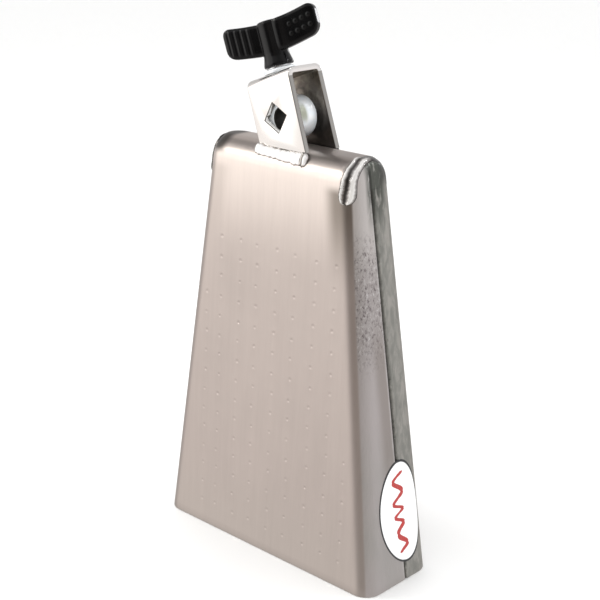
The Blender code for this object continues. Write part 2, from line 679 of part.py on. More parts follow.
def main():
    clear_scene()
    steel = material("brushed_steel", color=(0.50, 0.46, 0.42), roughness=0.38, metallic=1.0)
    weld = material("weld_bead", color=(0.55, 0.53, 0.51), roughness=0.34, metallic=1.0)
    seam = material("seam_metal", color=(0.30, 0.29, 0.28), roughness=0.55, metallic=1.0)
    chrome = material("bracket_chrome", color=(0.90, 0.89, 0.88), roughness=0.10, metallic=1.0)
    zinc = material("bolt_zinc", color=(0.80, 0.82, 0.85), roughness=0.22, metallic=1.0)
    plastic = material("black_plastic", color=(0.012, 0.012, 0.014), roughness=0.18, metallic=0.0)
    brass = material("insert_brass", color=(0.72, 0.55, 0.30), roughness=0.30, metallic=1.0)
    vinyl = material("label_vinyl", color=(0.90, 0.90, 0.89), roughness=0.35, metallic=0.0)

    bell_shell(steel)
    for name, side in SIDES:
        seam_weld("seam_weld_" + name, side, seam)
        crown_weld("crown_weld_" + name, side, weld)
    side_label(vinyl)

    strap_axis = axis_empty("strap_axis", HOLE_CENTRE, (0.0, -LEAN, 0.0))
    bolt_axis = axis_empty("bolt_axis", HOLE_CENTRE, (0.0, -BOLT_LEAN, 0.0))
    nut_axis = axis_empty("nut_axis", (0.0, 0.0, 0.0), (0.0, 0.0, NUT_TURN), bolt_axis)
    mount_bracket(chrome, strap_axis, bolt_axis)
    bracket_weld("bracket_weld_front", -1, weld)
    bracket_weld("bracket_weld_back", 1, weld)
    eye_bolt(zinc, bolt_axis)
    flat_washer(zinc, bolt_axis)
    wing_nut_insert(brass, nut_axis)
    wing_nut_grip(plastic, nut_axis)


main()
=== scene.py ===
"""Flat-sided metal bell, mouth down on the floor, with a chromed strap bracket on its crown.

The bell stands on z = 0 around the Z axis. Its broad faces look to -Y (front) and +Y (back);
its narrow flanges, each with a welded seam, look to -X (left) and +X (right). The bracket
leans to -X and carries an eye bolt, a washer and a plastic wing nut with a metal insert.
Lengths are millimetres unless a comment says metres; shaders work in metres.
"""

import json
import math
import random
from contextlib import contextmanager

import bmesh
import bpy
from mathutils import Matrix, Vector, noise
from mathutils.geometry import delaunay_2d_cdt


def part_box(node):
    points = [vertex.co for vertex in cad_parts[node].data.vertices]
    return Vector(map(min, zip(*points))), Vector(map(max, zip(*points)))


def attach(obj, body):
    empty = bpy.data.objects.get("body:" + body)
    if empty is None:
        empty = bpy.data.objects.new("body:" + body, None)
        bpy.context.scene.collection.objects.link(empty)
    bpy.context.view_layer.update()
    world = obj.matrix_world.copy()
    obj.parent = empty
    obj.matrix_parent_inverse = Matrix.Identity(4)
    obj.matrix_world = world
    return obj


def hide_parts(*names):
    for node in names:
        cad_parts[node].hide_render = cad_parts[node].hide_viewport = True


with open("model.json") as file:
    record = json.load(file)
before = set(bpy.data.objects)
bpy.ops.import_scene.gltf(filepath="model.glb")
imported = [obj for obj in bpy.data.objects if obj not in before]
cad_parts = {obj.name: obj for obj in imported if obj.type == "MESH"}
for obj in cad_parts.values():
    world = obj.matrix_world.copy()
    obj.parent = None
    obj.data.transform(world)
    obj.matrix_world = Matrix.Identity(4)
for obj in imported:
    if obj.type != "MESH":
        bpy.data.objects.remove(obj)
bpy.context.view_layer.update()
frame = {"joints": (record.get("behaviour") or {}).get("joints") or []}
MM = 0.001                               # one millimetre in metres

# ------------------------------------------------------------------ driving dimensions
shell_low, shell_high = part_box("bell_shell")
HEIGHT = shell_high.z / MM
MOUTH_W = (shell_high.x - shell_low.x) / MM
MOUTH_D = (shell_high.y - shell_low.y) / MM
SCALE = HEIGHT / 203.0                   # against the bell height the sizes below were taken at
CROWN_W, CROWN_D = 91.7 * SCALE, 27.0 * SCALE
FOLD_R = 10.1 * SCALE                    # fold from the broad faces into the crown
CORNER_R = 9.0 * SCALE                   # upright corners
END_R = 3.0 * SCALE                      # ends of the crown
WALL = 1.5 * SCALE
FOLD_Z = HEIGHT - FOLD_R

# Seam in each flange: y of its edges at the rim and at its top, and the front edge's bow
SEAM_TOP = 190.0 * SCALE
SEAM_FRONT = (4.0, -3.0)
SEAM_REAR = (8.5, 2.7)
SEAM_BOW = 0.35

# Bracket plates and bolt lean to -X by slightly different angles from the diamond holes
spin = next(joint for joint in frame["joints"] if joint["name"] == "wing_nut_spin")
HOLE = Vector(spin["pos_m"]) / MM        # centre of the diamond holes
BOLT_AXIS = Vector(spin["axis"]).normalized()
BOLT_SIDE = Vector((BOLT_AXIS.z, 0.0, -BOLT_AXIS.x))
LEAN = math.radians(18.0)
STRAP_AXIS = Vector((-math.sin(LEAN), 0.0, math.cos(LEAN)))
STRAP_SIDE = Vector((math.cos(LEAN), 0.0, math.sin(LEAN)))
WEB_SLOPE = math.tan(math.asin(-BOLT_AXIS.x) - LEAN)
DIAMOND_REACH = 10.2 / math.sqrt(2)      # hole centre to a diamond's corner

THREAD_PITCH = 1.27
LABEL_BOW, LABEL_TILT = 3.0, 1.5         # how far the label's tips shift along Y


# ------------------------------------------------------------------ shape helpers
def steps(start, stop, count):
    """count + 1 even stations from start to stop."""
    return [start + (stop - start) * i / count for i in range(count + 1)]


def arc(x, y, radius, start, stop, count):
    """Points of an arc about (x, y), between two angles in degrees."""
    angles = [math.radians(angle) for angle in steps(start, stop, count)]
    return [(x + radius * math.cos(angle), y + radius * math.sin(angle)) for angle in angles]


def unit_circle(count):
    angles = [2 * math.pi * i / count for i in range(count)]
    return [(math.cos(angle), math.sin(angle)) for angle in angles]


def smooth(value):
    """Smoothstep of a value held to 0..1."""
    value = min(1.0, max(0.0, value))
    return value * value * (3 - 2 * value)


def hump(offset, width):
    return math.exp(-(offset / width) ** 2)


def round_end(distance, length):
    """0 at the end of a run, rising along a quarter circle to 1 at the given length."""
    return math.sqrt(max(0.0, 1 - max(0.0, 1 - distance / length) ** 2))


def wobble(x, y, z):
    return noise.noise(Vector((x, y, z)))


def oriented(face, flip):
    return tuple(reversed(face)) if flip else tuple(face)


def strap_point(side, y, along):
    """Point by its place across the plates, along Y and along their lean, from the holes."""
    return HOLE + STRAP_SIDE * side + Vector((0, y, 0)) + STRAP_AXIS * along


def bolt_point(side, y, along):
    """The same along the bolt, which leans a little more than the plates."""
    return HOLE + BOLT_SIDE * side + Vector((0, y, 0)) + BOLT_AXIS * along


def circle(place, radius, along, count):
    """Ring about the bolt; radius is a number or a function of the point's index."""
    radius_at = radius if callable(radius) else lambda _: radius
    return [place(radius_at(i) * x, radius_at(i) * y, along)
            for i, (x, y) in enumerate(unit_circle(count))]


def thread_height(i, count, along):
    """0 in the root and 1 on the crest of a single-start right-hand thread."""
    angle = 2 * math.pi * i / count
    phase = (along / THREAD_PITCH - angle / (2 * math.pi)) % 1.0
    return 1 - abs(2 * phase - 1)


def loft(rings, capped=True, closed=False):
    count = len(rings[0])
    points = [point for ring in rings for point in ring]
    faces = []
    for i in range(len(rings) if closed else len(rings) - 1):
        lower, upper = i * count, ((i + 1) % len(rings)) * count
        for j in range(count):
            k = (j + 1) % count
            faces.append((lower + j, lower + k, upper + k, upper + j))
    if capped and not closed:
        faces.append(tuple(range(count - 1, -1, -1)))
        last = (len(rings) - 1) * count
        faces.append(tuple(range(last, last + count)))
    return points, faces


# ------------------------------------------------------------------ object helpers
def shade(obj, sharp=None):
    """Smooth shading, with edges above the sharp angle (degrees) kept hard."""
    obj.data.shade_smooth()
    if sharp:
        obj.data.set_sharp_from_angle(angle=math.radians(sharp))


def make(name, shape, material=None, sharp=None):
    """Object from (points in millimetres, faces)."""
    points, faces = shape
    mesh = bpy.data.meshes.new(name)
    mesh.from_pydata([(p[0] * MM, p[1] * MM, p[2] * MM) for p in points], [], faces)
    mesh.validate()
    mesh.update()
    obj = bpy.data.objects.new(name, mesh)
    bpy.context.scene.collection.objects.link(obj)
    if material is not None:
        mesh.materials.append(material)
    shade(obj, sharp)
    return obj


def drop(*objects):
    for obj in objects:
        mesh = obj.data
        bpy.data.objects.remove(obj, do_unlink=True)
        bpy.data.meshes.remove(mesh)


def apply_modifiers(obj):
    graph = bpy.context.evaluated_depsgraph_get()
    graph.update()
    mesh = bpy.data.meshes.new_from_object(
        obj.evaluated_get(graph), preserve_all_data_layers=False, depsgraph=graph)
    old = obj.data
    obj.modifiers.clear()
    obj.data = mesh
    bpy.data.meshes.remove(old)
    mesh.name = obj.name


def combine(obj, operation, *others):
    """Boolean the others into obj and remove them."""
    for other in others:
        modifier = obj.modifiers.new(other.name, "BOOLEAN")
        modifier.operation = operation
        modifier.solver = "EXACT"
        modifier.object = other
    apply_modifiers(obj)
    drop(*others)


@contextmanager
def editing(obj):
    """Edit the object's mesh as a bmesh and write it back."""
    mesh = bmesh.new()
    mesh.from_mesh(obj.data)
    yield mesh
    mesh.to_mesh(obj.data)
    mesh.free()


def fix_normals(obj):
    with editing(obj) as mesh:
        bmesh.ops.recalc_face_normals(mesh, faces=mesh.faces)


def set_attribute(obj, name, values, domain="POINT"):
    obj.data.attributes.new(name, "FLOAT", domain).data.foreach_set("value", values)


def make_bead(name, rings, material, flip, sharp=None, attributes=("tone",)):
    """Lofted weld; each ring entry is x, y, z and then one value per attribute."""
    rings = [oriented(ring, flip) for ring in rings]
    obj = make(name, loft(rings), material, sharp)
    for column, attribute in enumerate(attributes, 3):
        set_attribute(obj, attribute, [entry[column] for ring in rings for entry in ring])
    return obj


def place(obj, body, slot):
    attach(obj, body)
    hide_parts(obj.name.removesuffix("_visual"))


# ------------------------------------------------------------------ shader helpers
class Value:
    """A node output; arithmetic on it adds Math nodes."""

    def __init__(self, graph, socket):
        self.graph = graph
        self.socket = socket

    def math(self, operation, other=0.0):
        return self.graph.math(operation, self, other)

    def __add__(self, other):
        return self.math("ADD", other)

    def __radd__(self, other):
        return self.graph.math("ADD", other, self)

    def __sub__(self, other):
        return self.math("SUBTRACT", other)

    def __rsub__(self, other):
        return self.graph.math("SUBTRACT", other, self)

    def __mul__(self, other):
        return self.math("MULTIPLY", other)

    def __truediv__(self, other):
        return self.math("DIVIDE", other)

    def __pow__(self, other):
        return self.math("POWER", other)

    def __abs__(self):
        return self.math("ABSOLUTE")

    def rise(self, low, high):
        """0 below low, 1 above high, smooth between."""
        return self.graph.node("MapRange", {0: self, 1: low, 2: high},
                               interpolation_type="SMOOTHSTEP")

    def fall(self, low, high):
        """1 below low, 0 above high."""
        return 1.0 - self.rise(low, high)

    def paint(self, mask, color, opacity=None):
        """This colour with another laid over it where the mask is 1."""
        amount = mask if opacity is None else mask * opacity
        return self.graph.mix(amount, self, color)


class Graph:
    """Builds nodes in a tree; coord is the coordinate output its textures use."""

    def __init__(self, tree, space):
        self.tree = tree
        self.coord = self.node("TexCoord", output=space)

    def put(self, node, socket, value):
        if isinstance(value, Value):
            self.tree.links.new(value.socket, node.inputs[socket])
        else:
            node.inputs[socket].default_value = value

    def node(self, kind, inputs=None, output=0, **settings):
        node = self.tree.nodes.new("ShaderNode" + kind)
        for setting, value in settings.items():
            setattr(node, setting, value)
        for socket, value in (inputs or {}).items():
            self.put(node, socket, value)
        return Value(self, node.outputs[output])

    def math(self, operation, first, second):
        return self.node("Math", {0: first, 1: second}, operation=operation)

    def mix(self, amount, first, second, blend="MIX"):
        colors = [color if isinstance(color, Value) else (*color, 1.0)
                  for color in (first, second)]
        return self.node("Mix", {0: amount, 6: colors[0], 7: colors[1]}, output=2,
                         data_type="RGBA", blend_type=blend)

    def xyz(self, vector):
        split = self.node("SeparateXYZ", {0: vector})
        return [Value(self, socket) for socket in split.socket.node.outputs]


class Material(Graph):
    def __init__(self, name, metallic, roughness):
        self.material = bpy.data.materials.new(name)
        self.material.use_nodes = True
        super().__init__(self.material.node_tree, "Object")
        self.bsdf = self.tree.nodes["Principled BSDF"]
        self.put(self.bsdf, "Metallic", metallic)
        self.put(self.bsdf, "Roughness", roughness)

    def noise(self, scale, detail=3.0, roughness=0.5, distortion=0.0):
        """Noise with its own scale per axis, or one scale for all."""
        if not isinstance(scale, tuple):
            scale = (scale,) * 3
        vector = self.node("Mapping", {"Vector": self.coord, "Scale": scale})
        return self.node("TexNoise", {"Vector": vector, "Scale": 1.0, "Detail": detail,
                                      "Roughness": roughness, "Distortion": distortion})

    def attribute(self, name):
        return self.node("Attribute", output="Fac", attribute_name=name)

    def bump(self, height, strength, distance, normal=None):
        inputs = {"Height": height, "Strength": strength, "Distance": distance}
        if normal is not None:
            inputs["Normal"] = normal
        return self.node("Bump", inputs)

    def finish(self, base, roughness, normal, **others):
        sockets = {"Base Color": base, "Roughness": roughness, "Normal": normal, **others}
        for socket, value in sockets.items():
            self.put(self.bsdf, socket, value)
        return self.material


# ------------------------------------------------------------------ materials
SOOT_GREEN = (0.095, 0.105, 0.090)


def crease_distance(y, z):
    """Signed distance in metres behind the seam's front edge, on either flange."""
    rim, top = SEAM_FRONT
    height = z / (SEAM_TOP * MM)
    edge = rim * SCALE * MM + height * ((top - rim) * SCALE * MM)
    edge = edge + (height * math.pi).math("SINE") * (SEAM_BOW * SCALE * MM)
    return y - edge


def rear_flange(mat):
    """Blotch pattern and colour of the flange behind the seam, shared with the seam's metal."""
    blotch = mat.noise(scale=(330, 330, 120), detail=4.0, roughness=0.6, distortion=0.5)
    dull, light = (0.345, 0.345, 0.318), (0.500, 0.485, 0.450)
    return blotch, mat.mix(blotch.rise(low=0.35, high=0.68), dull, light)


def steel_material():
    mat = Material("brushed_steel", metallic=1.0, roughness=0.36)
    x, y, z = mat.xyz(mat.coord)
    fine = mat.noise(scale=(2400, 2400, 20), detail=4.0, roughness=0.6)
    wide = mat.noise(scale=(380, 380, 6), roughness=0.55)
    cloud = mat.noise(scale=(26, 26, 14), roughness=0.55)
    grain = mat.noise(scale=3800, detail=2.0) if False else mat.noise(
        scale=(3800, 3800, 2600), detail=2.0)
    warm, warm_dark = (0.505, 0.443, 0.414), (0.478, 0.420, 0.393)
    base = mat.mix(cloud.rise(low=0.30, high=0.72), warm, warm_dark)
    # painted highlight brightening the faces towards the fold, a little greyer low down
    base = base.paint(z.rise(low=0.125, high=0.196) ** 2.3,
                      color=(0.790, 0.705, 0.655), opacity=0.80)
    base = base.paint(z.fall(low=0.0, high=0.050), color=(0.485, 0.440, 0.405), opacity=0.50)

    # flanges: not brushed, colder; duller and slightly green behind the seam
    normal_x, _, normal_z = mat.xyz(mat.node("NewGeometry", output="Normal"))
    flange = abs(normal_x).rise(low=0.60, high=0.70)
    crease = crease_distance(y, z)
    behind = crease.rise(low=0.0002, high=0.0014)
    front = 1.0 - behind
    blotch, rear = rear_flange(mat)
    cold, cold_dark = (0.600, 0.555, 0.545), (0.545, 0.520, 0.500)
    ahead = mat.mix(cloud.rise(low=0.35, high=0.66), cold, cold_dark)
    base = base.paint(flange, color=mat.mix(behind, ahead, rear))
    # painted highlight on the upper front part of each flange
    flange_highlight = flange * front * (z.rise(low=0.146, high=0.164) * 0.70)
    base = base.paint(flange_highlight, color=(0.790, 0.745, 0.720))

    # streaks of the brushing
    streak_depth = 0.10
    streak = (fine - 0.5) * streak_depth + (wide - 0.5) * streak_depth
    base = mat.mix(1.0, base, 1.0 + streak, "MULTIPLY")

    # painted shade on the upper corner bends beside the crown beads, strongest on the right
    # half; bend is the distance past the line where the corner starts
    bend = (MOUTH_W / 2 - CORNER_R) * MM - z * ((MOUTH_W - CROWN_W) / 2 / HEIGHT)
    bend = abs(x) - bend
    ends = (z.rise(low=0.142, high=0.184) * bend.rise(low=-0.0105, high=-0.0015)
            * z.fall(low=0.1875, high=0.1925) * (0.25 + x.rise(low=0.0, high=0.02) * 0.75)
            * (1.0 - flange) * normal_z.fall(low=0.35, high=0.70))
    base = base.paint(ends, color=(0.125, 0.104, 0.082), opacity=0.74)
    # painted shade: the fold's upper half is darker than the faces
    dull = normal_z.rise(low=0.42, high=0.62) * normal_z.fall(low=0.84, high=0.97)
    base = base.paint(dull, color=(0.235, 0.212, 0.198), opacity=0.58)
    # burnt spot at the left end of the crown, and a darker right half on its top
    burn = ((x * -1.0 + cloud * 0.003).rise(low=0.0350, high=0.0400)
            * normal_z.rise(low=0.20, high=0.55))
    base = base.paint(burn, color=(0.085, 0.077, 0.071), opacity=0.95)
    top = normal_z.rise(low=0.70, high=0.95) * x.rise(low=0.008, high=0.036)
    base = base.paint(top, color=(0.270, 0.245, 0.235), opacity=0.50)
    # tops of the flanges beside the beads: dark, blotched and greenish
    scorch = (z.rise(low=0.166, high=0.190) * flange
              * abs(y - 0.0003).fall(low=0.0040, high=0.0072))
    stain = mat.mix(blotch.rise(low=0.48, high=0.66), SOOT_GREEN, (0.420, 0.420, 0.390))
    base = base.paint(scorch, color=stain, opacity=0.85)

    # painted shade of the crease running on above the seam, a painted highlight on the edge in
    # front of it, and a dark patch behind it at the top of the right flange
    line = (crease.rise(low=-0.0004, high=0.0001) * crease.fall(low=0.0010, high=0.0019)
            * (flange * z.rise(low=0.186, high=0.190)) * z.fall(low=0.1975, high=0.2010))
    base = base.paint(line, color=(0.060, 0.060, 0.055), opacity=0.85)
    wear_and_highlight = (crease.rise(low=-0.0013, high=-0.0006) * crease.fall(low=-0.0002, high=0.0001)
            * (flange * blotch.rise(low=0.36, high=0.58)))
    base = base.paint(wear_and_highlight, color=(0.780, 0.760, 0.745), opacity=0.50)
    tail = (z.rise(low=0.188, high=0.196) * x.rise(low=0.0400, high=0.0440)
            * y.rise(low=0.002, high=0.006))
    base = base.paint(tail, color=(0.085, 0.085, 0.080), opacity=0.85)

    # mottled, pitted patch on the flange ahead of the seam
    patch = z.rise(low=0.100, high=0.125) * z.fall(low=0.158, high=0.176) * (flange * front)
    pits = mat.noise(scale=(800, 800, 520), detail=4.0, roughness=0.65, distortion=0.6)
    base = base.paint(patch, color=(0.430, 0.395, 0.385), opacity=0.35)
    base = base.paint(patch * pits.rise(low=0.53, high=0.72), color=(0.80, 0.78, 0.77))
    base = base.paint(patch * pits.fall(low=0.33, high=0.49), color=(0.24, 0.210, 0.210))
    # browner strip just ahead of the seam
    strip = ((crease + cloud * 0.004).rise(low=-0.0095, high=-0.0025)
             * crease.fall(low=-0.0012, high=-0.0004)
             * (flange * z.fall(low=0.110, high=0.135)) * z.rise(low=0.030, high=0.070))
    base = base.paint(strip, color=(0.330, 0.285, 0.255), opacity=0.55)

    # mean roughness, varied by the brushing and clouds and raised on the flanges
    roughness = 0.355 + (fine - 0.5) * 0.12 + (cloud - 0.5) * 0.08 + flange * 0.05
    brushed = mat.bump(fine * 0.55 + grain * 0.45, strength=0.13, distance=0.00005)
    dimples = pits * patch + blotch * flange * 0.8
    normal = mat.bump(dimples, strength=0.60, distance=0.00035, normal=brushed)
    return mat.finish(base, roughness, normal)


def seam_material():
    """Blotched weld metal; tone is 0 in the crease, blend is 1 where it meets the flange."""
    mat = Material("seam_metal", metallic=1.0, roughness=0.45)
    z = mat.xyz(mat.coord)[2]
    specks = mat.noise(scale=(1300, 1300, 480), detail=4.0, roughness=0.7, distortion=0.4)
    blotch = mat.noise(scale=(360, 360, 130), detail=4.0, roughness=0.6, distortion=0.6)
    cloud = mat.noise(scale=(160, 160, 60), roughness=0.6)
    dull, light = (0.285, 0.290, 0.265), (0.490, 0.480, 0.445)
    base = mat.mix(blotch.rise(low=0.36, high=0.66), dull, light)
    base = base.paint(specks.rise(low=0.60, high=0.72), color=(0.78, 0.76, 0.74), opacity=0.8)
    base = base.paint(specks.fall(low=0.32, high=0.42), color=(0.10, 0.095, 0.09), opacity=0.6)
    stain, rear = rear_flange(mat)
    base = base.paint(mat.attribute("blend"), color=rear)
    high = z.rise(low=0.164, high=0.190) * stain.fall(low=0.48, high=0.66)
    base = base.paint(high, color=SOOT_GREEN, opacity=0.85)
    # painted shade deep in the crease
    base = base.paint(1.0 - mat.attribute("tone"), color=(0.050, 0.048, 0.045))
    normal = mat.bump(specks + blotch, strength=0.6, distance=0.00028)
    return mat.finish(base, 0.32 + cloud * 0.26, normal)


def bead_material(name, dark, light, roughness, sooted=False):
    """Weld bead; tone is 0 at its edges and 1 on its ridge, where a highlight is painted; its
    edges get painted shade.
    """
    mat = Material(name, metallic=1.0, roughness=roughness)
    cloud = mat.noise(scale=240, detail=4.0, roughness=0.6)
    fine = mat.noise(scale=1900, roughness=0.6)
    # painted highlight: light on the ridge, dark towards the edges
    base = mat.mix(mat.attribute("tone").rise(low=0.05, high=0.80), dark, light)
    base = base.paint(cloud.rise(low=0.5, high=0.72), color=dark, opacity=0.30)
    # painted shade along the bead's edges
    edge = mat.attribute("tone").fall(low=0.02, high=0.16)
    base = base.paint(edge, color=(0.070, 0.066, 0.062), opacity=0.90)
    if sooted:                           # where it runs over to the back
        rear = mat.xyz(mat.coord)[1].rise(low=0.0020, high=0.0065)
        base = base.paint(rear, color=(0.075, 0.075, 0.070), opacity=0.92)
    # the ridge is made less metallic so that its painted highlight shows white
    ridge = mat.attribute("tone").rise(low=0.30, high=0.85)
    normal = mat.bump(fine, strength=0.16, distance=0.00008)
    return mat.finish(base, (roughness - 0.05) + cloud * 0.12, normal,
                      Metallic=1.0 - ridge * 0.62)


def chrome_material():
    mat = Material("bracket_chrome", metallic=1.0, roughness=0.10)
    cloud = mat.noise(scale=60)
    fine = mat.noise(scale=(1500, 1500, 90), roughness=0.6)
    peel = mat.noise(scale=420, detail=2.0)
    warm, grey = (0.93, 0.90, 0.875), (0.88, 0.865, 0.85)
    base = mat.mix(cloud.rise(low=0.35, high=0.65), warm, grey)
    wear_and_highlight = mat.node("NewGeometry", output="Pointiness").rise(low=0.515, high=0.56)
    base = base.paint(wear_and_highlight, color=(0.70, 0.66, 0.62), opacity=0.35)
    # painted shade on the side edges of the plates
    base = base.paint(mat.attribute("edge"), color=(0.315, 0.307, 0.290), opacity=0.85)
    # painted highlight on the walls and painted shade on the lips of the diamond holes
    wall = mat.attribute("hole")
    base = base.paint(wall, color=(0.95, 0.94, 0.92))
    base = base.paint(mat.attribute("lip"), color=(0.040, 0.038, 0.036))
    # painted shade on the inner faces of the strap, darkest low down, mottled with grime
    inner = mat.attribute("inside")
    deep = mat.xyz(mat.coord)[2].fall(low=0.2120, high=0.2300)
    mottle = mat.noise(scale=210, detail=4.0, roughness=0.62, distortion=0.4)
    brown, brown_deep = (0.240, 0.205, 0.175), (0.045, 0.038, 0.033)
    dull = mat.mix(deep, brown, brown_deep)
    dull = dull.paint(cloud.rise(low=0.55, high=0.75), color=(0.42, 0.36, 0.31), opacity=0.5)
    dull = dull.paint(mottle.rise(low=0.46, high=0.68), color=(0.46, 0.42, 0.34),
                      opacity=0.75 - deep * 0.70)
    dull = dull.paint(mottle.fall(low=0.32, high=0.46), color=(0.05, 0.045, 0.04), opacity=0.7)
    base = base.paint(inner, color=dull, opacity=0.94)
    scratches = mat.bump(fine, strength=0.05, distance=0.00003)
    normal = mat.bump(peel, strength=0.05, distance=0.00008, normal=scratches)
    return mat.finish(base, 0.085 + fine * 0.07 + inner * 0.26, normal,
                      Metallic=1.0 - wall * 0.90)


def zinc_material():
    mat = Material("bolt_zinc", metallic=0.62, roughness=0.26)
    cloud = mat.noise(scale=300, detail=4.0, roughness=0.6)
    fine = mat.noise(scale=(2200, 300, 2200), roughness=0.6)
    blue, white = (0.88, 0.93, 0.97), (0.95, 0.97, 0.98)
    base = mat.mix(cloud.rise(low=0.35, high=0.65), blue, white)
    # painted olive reflection on part of the rim, painted shade inside the eye
    base = base.paint(mat.attribute("cheek"), color=(0.30, 0.31, 0.215), opacity=0.85)
    base = base.paint(mat.attribute("bore"), color=(0.035, 0.033, 0.030))
    normal = mat.bump(cloud + fine * 0.5, strength=0.10, distance=0.00010)
    return mat.finish(base, 0.24 + fine * 0.16, normal,
                      Metallic=0.42 - mat.attribute("flat") * 0.36)


def plastic_material():
    mat = Material("black_plastic", metallic=0.0, roughness=0.16)
    cloud = mat.noise(scale=120)
    grain = mat.noise(scale=2600, detail=2.0)
    scuff = mat.noise(scale=(900, 200, 900), roughness=0.6, distortion=0.4)
    black, black_light = (0.0012, 0.0012, 0.0015), (0.0028, 0.0028, 0.0031)
    base = mat.mix(cloud.rise(low=0.3, high=0.7), black, black_light)
    roughness = 0.13 + scuff.rise(low=0.55, high=0.75) * 0.13 + cloud * 0.06
    normal = mat.bump(grain, strength=0.05, distance=0.00006)
    return mat.finish(base, roughness, normal, **{"Specular IOR Level": 0.27})


def insert_material():
    mat = Material("insert_brass", metallic=1.0, roughness=0.22)
    ring = mat.noise(scale=(40, 40, 3200), detail=2.0)
    cloud = mat.noise(scale=260, roughness=0.6)
    light, dark = (0.90, 0.91, 0.92), (0.80, 0.81, 0.82)
    base = mat.mix(cloud.rise(low=0.3, high=0.7), light, dark)
    normal = mat.bump(ring, strength=0.12, distance=0.00008)
    return mat.finish(base, 0.16 + ring * 0.14, normal)


def label_material(centre, up, half_w, half_h):
    """White vinyl with a thin dark border and a wavy red line; arguments are in metres."""
    mat = Material("label_vinyl", metallic=0.0, roughness=0.28)
    offset = mat.node("VectorMath", {0: mat.coord, 1: centre}, operation="SUBTRACT")
    rise = mat.node("VectorMath", {0: offset, 1: up}, output="Value", operation="DOT_PRODUCT")
    # place on the label: -1..1 up it and across it
    rise = rise / half_h
    shift = rise * rise * (LABEL_BOW * MM) - rise * (LABEL_TILT * MM)
    across = (mat.attribute("girth") - shift) / half_w
    radius = (across * across + rise * rise).math("SQRT")
    border = radius.rise(low=0.945, high=0.962)
    fibre = mat.noise(scale=1400, roughness=0.6)
    cloud = mat.noise(scale=90)
    white = mat.mix(cloud, (0.90, 0.905, 0.91), (0.95, 0.95, 0.95))
    # one wave wandering up the middle: its phase, its reach to the sides, and its stroke,
    # which thickens where it crosses the middle
    phase = rise * 19.0 + (rise * 7.0).math("SINE") * 0.9
    reach = 0.185 + (rise * 4.1).math("SINE") * 0.035
    line = phase.math("SINE") * reach + rise * -0.02
    stroke = 0.062 + abs(phase.math("COSINE")) * 0.085
    red = (abs(across + 0.03 - line) - stroke).fall(low=-0.008, high=0.008)
    red = red * abs(rise).fall(low=0.775, high=0.785)
    ink = white.paint(red, color=(0.43, 0.032, 0.028))
    ink = ink.paint(border, color=(0.015, 0.015, 0.017))
    normal = mat.bump(fibre, strength=0.04, distance=0.00005)
    return mat.finish(ink, 0.22 + cloud * 0.12, normal,
                      **{"Coat Weight": 0.3, "Coat Roughness": 0.12})


# ------------------------------------------------------------------ bell outline
def half_width(z):
    return (MOUTH_W + (CROWN_W - MOUTH_W) * z / HEIGHT) / 2


def half_depth(z):
    return (MOUTH_D + (CROWN_D - MOUTH_D) * z / HEIGHT) / 2


def bell_size(z, inset=0.0):
    """Half width, half depth and corner radius of the section at height z."""
    width, depth = half_width(z) - inset, half_depth(z) - inset
    fold = FOLD_R - inset
    if z > FOLD_Z:
        rise = min(1.0, (z - FOLD_Z) / fold)
        depth -= fold * (1 - math.sqrt(max(0.0, 1 - rise * rise)))
    end = max(END_R - inset, 0.6)
    rise = min(1.0, max(0.0, z - (HEIGHT - inset - end)) / end)
    width -= end * (1 - math.sqrt(max(0.0, 1 - rise * rise)))
    return width, depth, min(CORNER_R - inset, depth - 0.05)


def seam_edges(z):
    """y of the seam's front and rear edges, which wander slightly."""
    height = z / SEAM_TOP
    front = SEAM_FRONT[0] + (SEAM_FRONT[1] - SEAM_FRONT[0]) * height
    rear = SEAM_REAR[0] + (SEAM_REAR[1] - SEAM_REAR[0]) * height
    front += SEAM_BOW * math.sin(math.pi * min(1.0, height))
    rear += 0.20 * wobble(z * 0.06, 7.7, 0)
    return front * SCALE, rear * SCALE


# Columns of one turn, anticlockwise from above, from the rear edge of the right seam
ARC, SIDE, FLAT = 12, 5, 26              # columns per corner, flange part and broad face
HALF_TURN = FLAT + 2 * (SIDE + ARC) + 1
COLUMNS = 2 * HALF_TURN
BACK_FIRST = SIDE + ARC
FRONT_FIRST = BACK_FIRST + HALF_TURN
GAPS = (HALF_TURN - 1, COLUMNS - 1)      # columns followed by a seam slot
BROAD = (*range(BACK_FIRST, BACK_FIRST + FLAT), *range(FRONT_FIRST, FRONT_FIRST + FLAT))


def bell_outline(z, inset):
    width, depth, corner = bell_size(z, inset)
    flat_w, flat_d = width - corner, depth - corner
    front, rear = seam_edges(min(z, SEAM_TOP))
    limit = flat_d * 0.92
    if z > SEAM_TOP:                     # spread to even columns above the slot
        ease = min(1.0, (z - SEAM_TOP) / 6.0)
        front = front * (1 - ease) - limit * 0.4 * ease
        rear = rear * (1 - ease) + limit * 0.4 * ease
    front, rear = max(-limit, min(limit, front)), max(-limit, min(limit, rear))
    if rear - front < 0.004:
        front, rear = -0.004, 0.004
    points = [(width, y) for y in steps(rear, flat_d, SIDE)[:-1]]
    points += arc(flat_w, flat_d, corner, 0, 90, ARC)[:-1]
    points += [(flat_w * part, depth) for part in steps(1, -1, FLAT)[:-1]]
    points += arc(-flat_w, flat_d, corner, 90, 180, ARC)[:-1]
    points += [(-width, y) for y in steps(flat_d, rear, SIDE)[:-1]]
    points.append((-width, rear))
    points += [(-width, y) for y in steps(front, -flat_d, SIDE)[:-1]]
    points += arc(-flat_w, -flat_d, corner, 180, 270, ARC)[:-1]
    points += [(flat_w * part, -depth) for part in steps(-1, 1, FLAT)[:-1]]
    points += arc(flat_w, -flat_d, corner, 270, 360, ARC)[:-1]
    points += [(width, y) for y in steps(-flat_d, front, SIDE)[:-1]]
    points.append((width, front))
    return points


